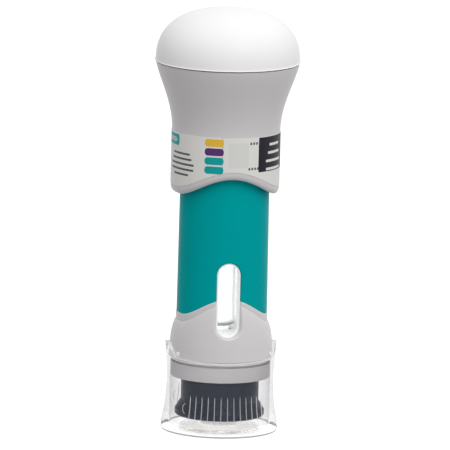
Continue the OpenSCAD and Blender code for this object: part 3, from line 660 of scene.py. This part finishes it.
# cone faces take the glowing cone glass, painted light; a band of faces just above the shoulder takes grey
# glass, painted shade under the shoulder
for face in glass_barrel.data.polygons:
    if face.center.z < shoulder_z:
        face.material_index = 2
    elif shoulder_z < face.center.z < shoulder_z + shoulder_shade_h and face.center.xy.length > cone_r:
        face.material_index = 1


# Medicine. The clear dose between the glass shoulder and the rubber stopper. It has no CAD node, and it
# is used up as the stopper comes down.
dose_r, dose_low, dose_high, dose_round = in_mm(3.12, 33.98, 65.66, 0.25)
# The dose glows, painted light that keeps the window bright.
dose_liquid_painted_glow = clear_material("dose_liquid_painted_glow", (0.995, 1.0, 1.0), 1.02, 0.0, 20.0, 0.0, 0.5, painted_glow=0.5)
mesh = bmesh.new()
lathe(mesh, [(0, dose_low), (dose_r - dose_round, dose_low), (dose_r, dose_low + dose_round),
             (dose_r, dose_high - 0.05 * mm), (dose_r - 0.05 * mm, dose_high), (0, dose_high)], 72)
dose = finish_piece("medicine_dose", mesh, "housing", [], "glass", 50, dose_liquid_painted_glow)
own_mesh(dose)


# Needle. Fine stainless tube with a ground bevel, glued in the glass cone.
def steel(name, tone, roughness):
    """Drawn stainless steel."""
    material, tree, shader = new_material(name)
    worn = moulded_look(tree, shader, 400.0, 3000.0, roughness, 0.12, 0.8, 0.1)
    pale, deep = (tone, tone, tone * 1.01), (tone * 0.86, tone * 0.86, tone * 0.87)
    feed(tree, shader, {"Metallic": 1.0, "Base Color": tone_mix(tree, worn, pale, deep)})
    return material


dress("needle", steel("needle_steel", 0.74, 0.22))


# Stopper and rod. Grey bromobutyl stopper with three sealing ribs, pushed by a cross-ribbed white rod
# whose head is held by a plate under the palm dome; a guide ring in the handle runs on the body.
dress("stopper", ring_rubber)
rod_plastic = plastic("rod_white_plastic", (0.84, 0.84, 0.835), (0.80, 0.80, 0.80), 0.38, 1300.0, 1.0, 0.14)
for node in ("plunger_rod", "rod_plate", "guide_ring"):
    dress(node, rod_plastic)


# Needle guard. Slate-coloured tube under the nose, pushed down by a spring. Two arms hook over the
# carrier's deck, and a yellow band in a groove near its top shows only once the pen is used.
guard_slate = plastic("guard_slate_plastic", (0.016, 0.022, 0.040), (0.012, 0.017, 0.031), 0.34, 1500.0, 1.1,
                      0.16, 0.10)
dress("needle_guard", guard_slate)
dress("lock_band", plastic("band_yellow_plastic", (0.85, 0.62, 0.03), (0.78, 0.55, 0.02), 0.4, 1500.0, 1.0,
                           0.12))


# Guard spring. Stainless wire wound in nine curls, the end curls close, between the guard's floor and
# the carrier's deck. Geometry Nodes sweep the wire along the winding.
spring_foot_z, spring_head_z, spring_mean_r, wire_r = in_mm(5.9, 29.6, 8.9, 0.4)
spring_curls, curl_steps, end_pitch = 9, 40, 1.28 * mm


def spring_tree():
    """Winding path from a line of points, then a round wire along it."""
    tree, given, end, ids = node_group("wound_spring", "GeometryNodeTree", {
        "Curls": float(spring_curls), "Mean Radius": spring_mean_r, "Wire Radius": wire_r,
        "Foot": spring_foot_z + wire_r, "Head": spring_head_z - wire_r, "End Pitch": end_pitch, "Wire": None},
        ("Geometry",), "NodeSocketGeometry")
    calc = maths(tree)
    line = add_node(tree, "GeometryNodeMeshLine", {"Count": spring_curls * curl_steps + 1})
    u = calc("/", add_node(tree, "GeometryNodeInputIndex"), float(curl_steps))
    angle = calc("*", u, 2 * math.pi)
    inner, past = calc("-", given["Curls"], 2.0), calc("-", u, 1.0)
    span = calc("-", calc("-", given["Head"], given["Foot"]),
                calc("*", given["End Pitch"], 2.0))
    first = calc("*", calc("MINIMUM", u, 1.0), given["End Pitch"])
    middle_u = calc("MAXIMUM", calc("MINIMUM", past, inner), 0.0)
    middle = calc("*", calc("/", middle_u, inner), span)
    last = calc("*", calc("MAXIMUM", calc("-", past, inner), 0.0), given["End Pitch"])
    place = add_node(tree, "ShaderNodeCombineXYZ", {
        "X": calc("*", calc("SINE", angle), given["Mean Radius"]),
        "Y": calc("*", calc("COSINE", angle), calc("*", given["Mean Radius"], -1.0)),
        "Z": calc("+", calc("+", given["Foot"], first), calc("+", middle, last))})
    put = add_node(tree, "GeometryNodeSetPosition", {"Geometry": line, "Position": place})
    path = add_node(tree, "GeometryNodeMeshToCurve", {"Mesh": put})
    section = add_node(tree, "GeometryNodeCurvePrimitiveCircle", {
        "Resolution": 14, "Radius": given["Wire Radius"]})
    sweep = add_node(tree, "GeometryNodeCurveToMesh", {
        "Curve": path, "Profile Curve": section, "Fill Caps": True})
    smooth = add_node(tree, "GeometryNodeSetShadeSmooth", {"Geometry": sweep})
    real = add_node(tree, "GeometryNodeRealizeInstances", {0: smooth})
    paint = add_node(tree, "GeometryNodeSetMaterial", {"Geometry": real, "Material": given["Wire"]})
    feed(tree, end, {0: paint})
    return tree, ids


def grown(name, tree, ids, settings, body, nodes, slot_name):
    """Runs a node tree on an empty mesh and keeps the result as a plain piece."""
    piece = add_object(name, bpy.data.meshes.new(name))
    maker = piece.modifiers.new("maker", "NODES")
    maker.node_group = tree
    for key, value in settings.items():
        maker[ids[key]] = value
    bpy.context.view_layer.update()
    made = bpy.data.meshes.new_from_object(piece.evaluated_get(bpy.context.evaluated_depsgraph_get()))
    piece.modifiers.remove(maker)
    piece.data = made
    return settle(piece, body, nodes)


guard_coil = grown("guard_coil_spring", *spring_tree(), {"Wire": steel("spring_steel", 0.62, 0.26)}, "guard",
                   ["guard_spring"], "steel")
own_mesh(guard_coil)


# Bottom cap. Clear styrene moulding on which the pen stands, pulled off before use. The wall flares into
# a hollow foot, fine grip ribs run round the front and back, and two ears stand up beside the nose.
cap_in_r, cap_wall_r, ear_in_r = in_mm(15.4, 16.2, 15.93)
ear_root_r, ear_tip_r, ear_z = in_mm(16.7, 17.1, 27.6)
cap_floor, cap_ledge_z, cap_rim_z, cap_rim_rise = in_mm(2.0, 22.7, 22.95, 0.45)
rim_round_r, rim_x, tip_x, lip_round, lip_light_depth = in_mm(16.95, 15.45, 17.01, 0.24, 0.245)
flare_w, flare_fall_h, foot_edge, foot_shade_h = in_mm(1.55, 6.8, 0.6, 0.62)
wall_top_z, ear_foot_z, ear_root_z, ear_tone_z = in_mm(17.0, 22.0, 22.2, 22.9)
frost_top_z, floor_round = in_mm(3.0, 0.8)
rib_count, rib_pitch, rib_half_w, rib_out = 13, 6.85, 0.42, 0.26 * mm
rib_low, rib_high = in_mm(4.0, 12.7)
mark_angle, mark_bow, mark_z, mark_half_h, mark_half_w = 50.5, 4.2, 8.4 * mm, 1.8 * mm, 0.7


def cap_clear(name, tone, roughness, ripple, clearness, edge=None):
    return clear_material("cap_" + name, tone, 1.03, roughness, 45.0, ripple, clearness, edge)


# The edge tones darken the walls seen edge on, painted shade for the dark outlines of clear walls; the ribs
# are paler and less clear, a painted highlight; the foot's edge is grey, painted contact shade; the lip is a
# pale grey band, painted light along the rim.
clear_styrene = cap_clear("clear_styrene", (0.985, 0.98, 0.985), 0.05, 0.01, 0.985, (0.60, 0.60, 0.61))
frosted_styrene = cap_clear("frosted_styrene", (0.98, 0.975, 0.965), 0.2, 0.0, 0.95, (0.96, 0.955, 0.945))
ear_styrene = cap_clear("ear_styrene", (0.98, 0.98, 0.98), 0.02, 0.0, 0.97, (0.72, 0.72, 0.73))
lip_light_styrene = cap_clear("lip_light_styrene", (0.76, 0.76, 0.77), 0.25, 0.0, 0.3)
foot_shade_styrene = cap_clear("foot_shade_styrene", (0.50, 0.495, 0.475), 0.3, 0.0, 0.35)
rib_highlight_styrene = cap_clear("rib_highlight_styrene", (0.95, 0.95, 0.95), 0.25, 0.01, 0.45)


def cap_outer_r(z):
    return cap_wall_r + flare_w / (1 + (z / flare_fall_h) ** 3)


def cap_rim_height(t):
    """Height of the rim, t degrees from the front: a shallow dip, then a slanted edge up to the ear."""
    m = t % 180
    x = rim_round_r * math.sin(math.radians(min(m, 180 - m)))
    dip = cap_rim_z + cap_rim_rise * (min(x, rim_x) / rim_x) ** 2
    climb = min(1.0, max(0.0, (x - rim_x) / (tip_x - rim_x)))
    return dip + (ear_z - cap_rim_z - cap_rim_rise) * climb


def rib_rise(t, z):
    """How far a grip rib stands out of the wall; at each end of the field a short curved mark closes it."""
    if not rib_low < z < rib_high:
        return 0.0
    share = (z - rib_low) / (rib_high - rib_low)
    swell = min(1.0, 7.2 * share * (1 - share))
    m = (t + 90) % 180 - 90
    up = (z - mark_z) / mark_half_h
    if abs(up) < 1 and abs(m) > mark_angle - mark_bow - 2 * mark_half_w:
        off = abs(abs(m) - mark_angle + mark_bow * up * up) / mark_half_w
        return rib_out * 0.8 * math.cos(off * math.pi / 2) * (1 - up ** 6) if off < 1 else 0.0
    index = round(m / rib_pitch)
    off = abs(m - index * rib_pitch) / rib_half_w
    if off >= 1 or abs(index) > (rib_count - 1) // 2:
        return 0.0
    return rib_out * math.cos(off * math.pi / 2) ** 0.8 * swell


def cap_section(t):
    """Closed section of the cap's wall at an angle: outside up, over the rim, inside down."""
    top, foot_r, side_r = cap_rim_height(t), cap_outer_r(0) - 0.62 * mm, cap_outer_r(wall_top_z)
    ledge = min(cap_ledge_z, top - 0.35 * mm)
    points = [(cap_wall_r - 4.0 * mm, 0.5 * mm), (cap_wall_r - 4.0 * mm, 0.12 * mm),
              (cap_wall_r - 3.88 * mm, 0.0), (foot_r, 0.0)]
    points += arc_points((foot_r, foot_edge), foot_edge, -72, 0, 5)
    points += [(cap_outer_r(z) + rib_rise(t, z), z) for z in steps(foot_edge, wall_top_z, 40)[1:]]
    points += zip(steps(side_r, ear_root_r - 0.06 * mm, 7)[1:], steps(wall_top_z, ear_foot_z, 7)[1:])
    points += [(ear_root_r + (ear_tip_r - ear_root_r) * (z - cap_ledge_z) / (ear_z - cap_ledge_z), z)
               for z in steps(ear_root_z, top - lip_round, 7)]
    points += arc_points((points[-1][0] - lip_round, top - lip_round), lip_round, 15, 90, 4)
    points += arc_points((ear_in_r + lip_round * 0.6, top - lip_round * 0.6), lip_round * 0.6, 90, 180, 3)
    points += [(ear_in_r, ledge + 0.08 * mm), (ear_in_r - 0.08 * mm, ledge), (cap_in_r + 0.1 * mm, ledge)]
    points += [(cap_in_r, z) for z in steps(ledge - 0.1 * mm, cap_floor + floor_round, 8)]
    points += arc_points((cap_in_r - floor_round, cap_floor + floor_round), floor_round, 0, -90, 6)[1:]
    # a low ring on the floor, round the puller
    return points + [(cap_in_r - 3.0 * mm, cap_floor)] + [(r * mm, cap_floor + rise * mm) for r, rise in (
        (6.9, 0.0), (6.7, 0.05), (6.7, 0.7), (6.6, 0.8), (6.0, 0.8), (5.9, 0.7), (5.9, 0.0))]


rib_turns = {round((face + rib_pitch * (i - (rib_count - 1) / 2) + off * rib_half_w) % 360, 4)
             for face in (0, 180) for i in range(rib_count)
             for off in (-1.0, -0.72, -0.42, -0.15, 0.15, 0.42, 0.72, 1.0)}
mark_turns = {round((face + side * (mark_angle + mark_half_w - 0.18 * i)) % 360, 4)
              for face in (0, 180) for side in (-1, 1) for i in range(32)}
fixed_turns = rib_turns | mark_turns
turn_list = sorted(fixed_turns | {i * 1.5 for i in range(240)
                                  if all(abs(i * 1.5 - t) > 0.35 for t in fixed_turns)})
mesh = bmesh.new()
columns = columns_of(mesh, cap_section, turn_list)
skin(mesh, columns, True)
foot_hub, floor_hub = mesh.verts.new((0, 0, 0.5 * mm)), mesh.verts.new((0, 0, cap_floor))
for a, b in zip(columns, columns[1:] + columns[:1]):
    mesh.faces.new((a[0], b[0], foot_hub))
    mesh.faces.new((b[-1], a[-1], floor_hub))
bottom_cap = finish_piece("clear_bottom_cap", mesh, "cap", ["bottom_cap"], "clear_plastic", 38, clear_styrene,
                          frosted_styrene, rib_highlight_styrene, ear_styrene, foot_shade_styrene, lip_light_styrene)
# looks: 0 clear wall, 1 frosted foot and floor, 2 ribs and marks, paler as a painted highlight, 3 ears, 4 the
# foot's edge, grey as painted contact shade, 5 the rim's lip, a pale band of painted light
for face in bottom_cap.data.polygons:
    x, y, z = face.center
    around, r = math.degrees(math.atan2(x, -y)), face.center.xy.length
    if z > cap_rim_height(around) - lip_light_depth:
        face.material_index = 5
    elif z > ear_tone_z:
        face.material_index = 3
    elif z < foot_shade_h and r > cap_wall_r + 0.6 * mm:
        face.material_index = 4
    elif z < frost_top_z:
        face.material_index = 1
    elif r > cap_outer_r(z) - 0.1 * mm and rib_rise(around, z) > 0.25 * rib_out:
        face.material_index = 2


# Needle shield. The puller's four fingers on the cap's floor grip a groove in the stiff shield, and the
# soft rubber sheath inside it closes the needle, so pulling the cap off bares the needle.
dress("shield_puller", carrier_glow_plastic)
dress("rigid_needle_shield", plastic("shield_white_plastic", (0.78, 0.78, 0.78), (0.74, 0.74, 0.74), 0.4,
                                     1400.0, 1.0, 0.14))
dress("shield_rubber", plastic("sheath_grey_rubber", (0.42, 0.42, 0.41), (0.36, 0.36, 0.35), 0.62, 2200.0,
                               1.2, 0.3, 0.3))


# Handle shell. Satin white moulding that slides down over the body when the palm pushes. It narrows from
# the dome to a waist and ends in a round lip that follows the same arch as the nose's collar.
handle_in_r, waist_r, handle_edge_z = in_mm(15.1, 16.55, 79.8)
seam_z, handle_top_z, flare_h, flare_out = in_mm(114.1, 113.8, 21.1, 5.45)
mouth_socket_r, handle_wall, handle_lip_w, handle_lip_h = in_mm(20.3, 1.45, 1.02, 1.6)
satin_white = plastic("handle_satin_white", (0.645, 0.622, 0.628), (0.622, 0.60, 0.608), 0.4, 1500.0, 1.0,
                      0.16, 0.25)


def handle_r(z):
    share = min(1.0, max(0.0, (seam_z - z) / flare_h))
    return waist_r + flare_out * (1 - share ** 1.35) ** 2


def handle_section(t):
    """Closed section of the handle's wall at an angle: round lip, outside up, socket, inside down."""
    edge, straight, top_r = handle_edge_z - arch_drop(t), seam_z - flare_h, handle_r(handle_top_z)
    points = [(waist_r - handle_lip_w * (1 - math.sin(a)), edge + handle_lip_h * (1 - math.cos(a)))
              for a in steps(0, math.pi / 2, 8)]
    points += [(waist_r, z) for z in steps(edge + handle_lip_h, straight, 6)[1:]]
    points += [(handle_r(z), z) for z in steps(straight, handle_top_z - 0.35 * mm, 32)[1:]]
    points += [(top_r - 0.03 * mm, handle_top_z - 0.15 * mm), (top_r - 0.12 * mm, handle_top_z - 0.04 * mm),
               (top_r - 0.26 * mm, handle_top_z), (mouth_socket_r, handle_top_z),
               (mouth_socket_r, handle_top_z - 2.2 * mm)]
    points += [(handle_r(z) - handle_wall, z) for z in steps(handle_top_z - 3.65 * mm, straight, 16)]
    return points + [(handle_in_r, edge + 2.0 * mm), (handle_in_r, edge + 0.43 * mm),
                     (handle_in_r + 0.13 * mm, edge + 0.13 * mm)]


mesh = bmesh.new()
skin(mesh, columns_of(mesh, handle_section, [t * 1.5 for t in range(240)]), True, True)
finish_piece("white_handle_shell", mesh, "handle", ["handle_shell"], "white_satin", 40, satin_white)


# Handle label. Coated paper wrapped once round the handle below its flare, cut along the arch, with a
# lapped seam at the front. Its print is plain bars and blocks of ink, with no lettering.
label_r, label_t, label_gap, label_top_z = in_mm(16.55, 0.12, 2.4, 92.8)
label_start, label_turn, label_edge, paper_gap = -11.25, 358.5, 0.02 * mm, 0.005 * mm


def paper():
    """Coated paper: faint fibres and a slightly uneven white."""
    material, tree, shader = new_material("label_coated_paper")
    place = add_node(tree, "ShaderNodeTexCoord", out="Object")
    fibre, cloud = noise(tree, place, 2600.0, 5), noise(tree, place, 120.0)
    relief = add_node(tree, "ShaderNodeBump", {"Strength": 0.12, "Distance": 0.03 * mm, "Height": fibre})
    feed(tree, shader, {"Base Color": tone_mix(tree, cloud, (0.76, 0.75, 0.725), (0.76, 0.755, 0.73)),
                        "Roughness": 0.45, "Specular IOR Level": 0.15, "Normal": relief})
    return material


def label_section(t):
    """Half a section of the paper at an angle, its back left open."""
    foot, inner, outer = handle_edge_z - arch_drop(t) + label_gap, label_r + paper_gap, label_r + label_t
    heights = [foot + label_edge, *steps(foot, label_top_z, 6)[1:-1], label_top_z - label_edge]
    return [(inner, foot), *((outer, z) for z in heights), (inner, label_top_z)]


mesh = bmesh.new()
columns = columns_of(mesh, label_section, steps(label_start, label_start + label_turn, 240))
skin(mesh, columns, closed=True)
mesh.faces.new(columns[0][::-1])
mesh.faces.new(columns[-1])
finish_piece("handle_paper_label", mesh, "handle", ["handle_label"], "label_paper", 40, paper())


def ink(name, colour):
    return plastic("ink_" + name, colour, tuple(c * 0.93 for c in colour), 0.42, 1600.0, 0.6, 0.06, 0.12)


# printed marks: each is a thin film of ink with round corners, laid on the paper by Geometry Nodes
def ink_tree():
    """Row of like bars round the handle: count, pitch, size, place and ink are inputs."""
    tree, given, end, ids = node_group("ink_bars", "GeometryNodeTree", {
        "Count": 1, "Step Down": 0.0, "Step Round": 0.0, "Width": 1 * mm, "Height": 1 * mm,
        "Corner": 0.1 * mm, "Angle": 0.0, "Level": 0.09, "Radius": 0.0168, "Ragged": 0.0, "Ink": None},
        ("Geometry",), "NodeSocketGeometry")
    calc = maths(tree)

    def joined(x, z, y=0.0):
        return add_node(tree, "ShaderNodeCombineXYZ", {"X": x, "Y": y, "Z": z})

    def put(geometry, position):
        return add_node(tree, "GeometryNodeSetPosition", {"Geometry": geometry, "Position": position})

    def position():
        return add_node(tree, "ShaderNodeSeparateXYZ", {0: add_node(tree, "GeometryNodeInputPosition")}, None)

    index = add_node(tree, "GeometryNodeInputIndex")
    line = add_node(tree, "GeometryNodeMeshLine", {"Count": given["Count"]})
    down = calc("*", index, calc("*", given["Step Down"], -1.0))
    spots = put(line, joined(calc("*", index, given["Step Round"]), down))
    grid = add_node(tree, "GeometryNodeMeshGrid", {
        "Vertices X": 61, "Vertices Y": 9, "Size X": given["Width"], "Size Y": given["Height"]})
    # round the corners: pull a corner point in towards the corner's own arc
    split, over = position(), []
    for axis, size in (("X", "Width"), ("Y", "Height")):
        side = calc("-", calc("*", given[size], 0.5), given["Corner"])
        over.append(calc("MAXIMUM", calc("-", calc("ABSOLUTE", split[axis]), side), 0.0))
    squares = calc("+", calc("*", over[0], over[0]), calc("*", over[1], over[1]))
    length = calc("MAXIMUM", calc("SQRT", squares), 1e-9)
    pull = calc("-", 1.0, calc("MINIMUM", calc("/", given["Corner"], length), 1.0))
    x, y = [calc("-", split[axis], calc("*", calc("*", past, pull), calc("SIGN", split[axis])))
            for axis, past in zip("XY", over)]
    chance = add_node(tree, "FunctionNodeRandomValue", {"Seed": 7}, "Value", data_type="FLOAT")
    shorter = calc("-", 1.0, calc("*", chance, given["Ragged"]))
    copies = add_node(tree, "GeometryNodeInstanceOnPoints", {
        "Points": spots, "Instance": put(grid, joined(x, y)), "Scale": joined(shorter, 1.0, 1.0)})
    # wrap the flat bars round the handle
    real = add_node(tree, "GeometryNodeRealizeInstances", {0: copies})
    flat, radius = position(), given["Radius"]
    angle = calc("+", given["Angle"], calc("/", flat["X"], radius))
    back = calc("*", calc("*", calc("COSINE", angle), radius), -1.0)
    level = calc("+", flat["Z"], given["Level"])
    wrap = put(real, joined(calc("*", calc("SINE", angle), radius), level, back))
    smooth = add_node(tree, "GeometryNodeSetShadeSmooth", {"Geometry": wrap})
    paint = add_node(tree, "GeometryNodeSetMaterial", {"Geometry": smooth, "Material": given["Ink"]})
    feed(tree, end, {0: paint})
    return tree, ids


bars, bar_ids = ink_tree()
teal_ink, grey_ink = ink("teal", (0.005, 0.36, 0.36)), ink("grey", (0.10, 0.105, 0.11))
ochre_ink, violet_ink = ink("ochre", (0.82, 0.50, 0.05)), ink("violet", (0.10, 0.035, 0.16))
pale_ink, white_ink = ink("pale_grey", (0.73, 0.735, 0.71)), ink("white", (0.78, 0.78, 0.75))
slate_ink = ink("slate", (0.016, 0.015, 0.024))
# name: ink, degrees from the front, then in mm height, width, bar height, corner, then count, step down,
# step round, share by which lines are ragged, and how far the film lies off the paper
label_marks = {
    "band_teal": (teal_ink, -82.0, 90.7, 9.0, 3.4, 0.8, 1, 0.0, 0.0, 0.0, 0.006),
    "band_pale": (white_ink, -80.5, 90.7, 5.4, 1.4, 0.4, 1, 0.0, 0.0, 0.0, 0.006),
    "lines_left": (grey_ink, -64.0, 86.8, 12.0, 0.62, 0.2, 5, 1.6, 0.0, 0.4, 0.006),
    "stripes_teal": (teal_ink, -20.8, 85.6, 6.0, 2.3, 1.0, 2, 2.8, 0.0, 0.0, 0.006),
    "stripe_ochre": (ochre_ink, -20.8, 91.2, 6.0, 2.3, 1.0, 1, 0.0, 0.0, 0.0, 0.006),
    "stripe_violet": (violet_ink, -20.8, 88.4, 6.0, 2.3, 1.0, 1, 0.0, 0.0, 0.0, 0.006),
    "square_pale": (pale_ink, 5.5, 87.4, 6.4, 7.6, 0.5, 1, 0.0, 0.0, 0.0, 0.006),
    "dots_upper": (grey_ink, 19.0, 91.0, 0.62, 0.8, 0.25, 4, 0.0, 1.0, 0.0, 0.006),
    "dots_lower": (grey_ink, 17.5, 83.2, 0.62, 0.8, 0.25, 4, 0.0, 1.0, 0.0, 0.006),
    "block_slate": (slate_ink, 56.0, 87.35, 16.0, 10.7, 0.3, 1, 0.0, 0.0, 0.0, 0.006),
    "back_band": (teal_ink, 175.0, 90.4, 22.0, 2.0, 0.5, 1, 0.0, 0.0, 0.0, 0.006),
    "back_lines": (grey_ink, 175.0, 87.2, 20.0, 0.55, 0.2, 4, 1.5, 0.0, 0.35, 0.006),
    "side_lines": (grey_ink, 118.0, 88.0, 9.0, 0.55, 0.2, 5, 1.5, 0.0, 0.45, 0.006),
    "block_lines": (white_ink, 54.0, 90.2, 9.0, 0.8, 0.3, 4, 2.5, 0.0, 0.5, 0.014),
}
for name, mark in label_marks.items():
    film, angle, z, width, height, corner, count, down, step_round, ragged, lift = mark
    grown("label_" + name, bars, bar_ids, {
        "Count": count, "Step Down": down * mm, "Step Round": step_round * mm, "Width": width * mm,
        "Height": height * mm, "Corner": corner * mm, "Angle": math.radians(angle), "Level": z * mm,
        "Radius": label_r + label_t + lift * mm, "Ragged": ragged, "Ink": film}, "handle", [], "label_paper")


# Palm dome. Glossy white moulded cap that the palm pushes, snapped into the handle's socket. A fine lip
# runs round its foot, and the dark line of the joint shows below it.
dome_r, dome_h, dome_wall, dome_power = 22.05 * mm, 16.2 * mm, 1.8 * mm, 2.4
lip_r, lip_h, lip_edge = in_mm(22.285, 0.34, 0.1)
socket_in_r, socket_out_r, socket_low_z = in_mm(19.0, 20.2, 111.7)
gloss_white = plastic("dome_gloss_white", (0.91, 0.90, 0.905), (0.89, 0.88, 0.885), 0.34, 1300.0, 1.0, 0.05,
                      0.08)


def dome_curve(r, h, count):
    """Flattened round from the seam to the axis."""
    return [(r * math.cos(a) ** (2 / dome_power), seam_z + h * math.sin(a) ** (2 / dome_power))
            for a in steps(0, math.pi / 2, count)[:-1]] + [(0.0, seam_z + h)]


mesh = bmesh.new()
shell = [(socket_out_r, seam_z), (lip_r - lip_edge, seam_z)] \
    + arc_points((lip_r - lip_edge, seam_z + lip_edge), lip_edge, -60, 60, 5) \
    + [(dome_r + 0.03 * mm, seam_z + lip_h * 0.75), (dome_r + 0.004 * mm, seam_z + lip_h)]
shell += [p for p in dome_curve(dome_r, dome_h, 64) if p[1] > seam_z + lip_h + 0.12 * mm]
lathe(mesh, shell + dome_curve(dome_r - dome_wall, dome_h - dome_wall, 40)[::-1]
      + [(socket_in_r, seam_z), (socket_in_r, socket_low_z), (socket_out_r, socket_low_z),
         (socket_out_r, seam_z)], 240)
# a ring and three ribs under the dome stiffen it
ring = ((10.1, 124.6), (11.3, 124.6), (11.3, 127.2), (10.1, 127.4))
lathe(mesh, [(r * mm, z * mm) for r, z in ring], 120, True)
for i in range(3):
    rib = bmesh.ops.create_cube(mesh, size=1.0)["verts"]
    bmesh.ops.scale(mesh, verts=rib, vec=(22.4 * mm, 1.2 * mm, 1.6 * mm))
    bmesh.ops.translate(mesh, verts=rib, vec=(0, 0, 127.25 * mm))
    bmesh.ops.rotate(mesh, verts=rib, cent=(0, 0, 0), matrix=Matrix.Rotation(math.pi * i / 3, 3, "Z"))
bmesh.ops.remove_doubles(mesh, verts=mesh.verts, dist=1e-6)
finish_piece("white_palm_dome", mesh, "handle", ["palm_dome"], "white_gloss", 40, gloss_white)
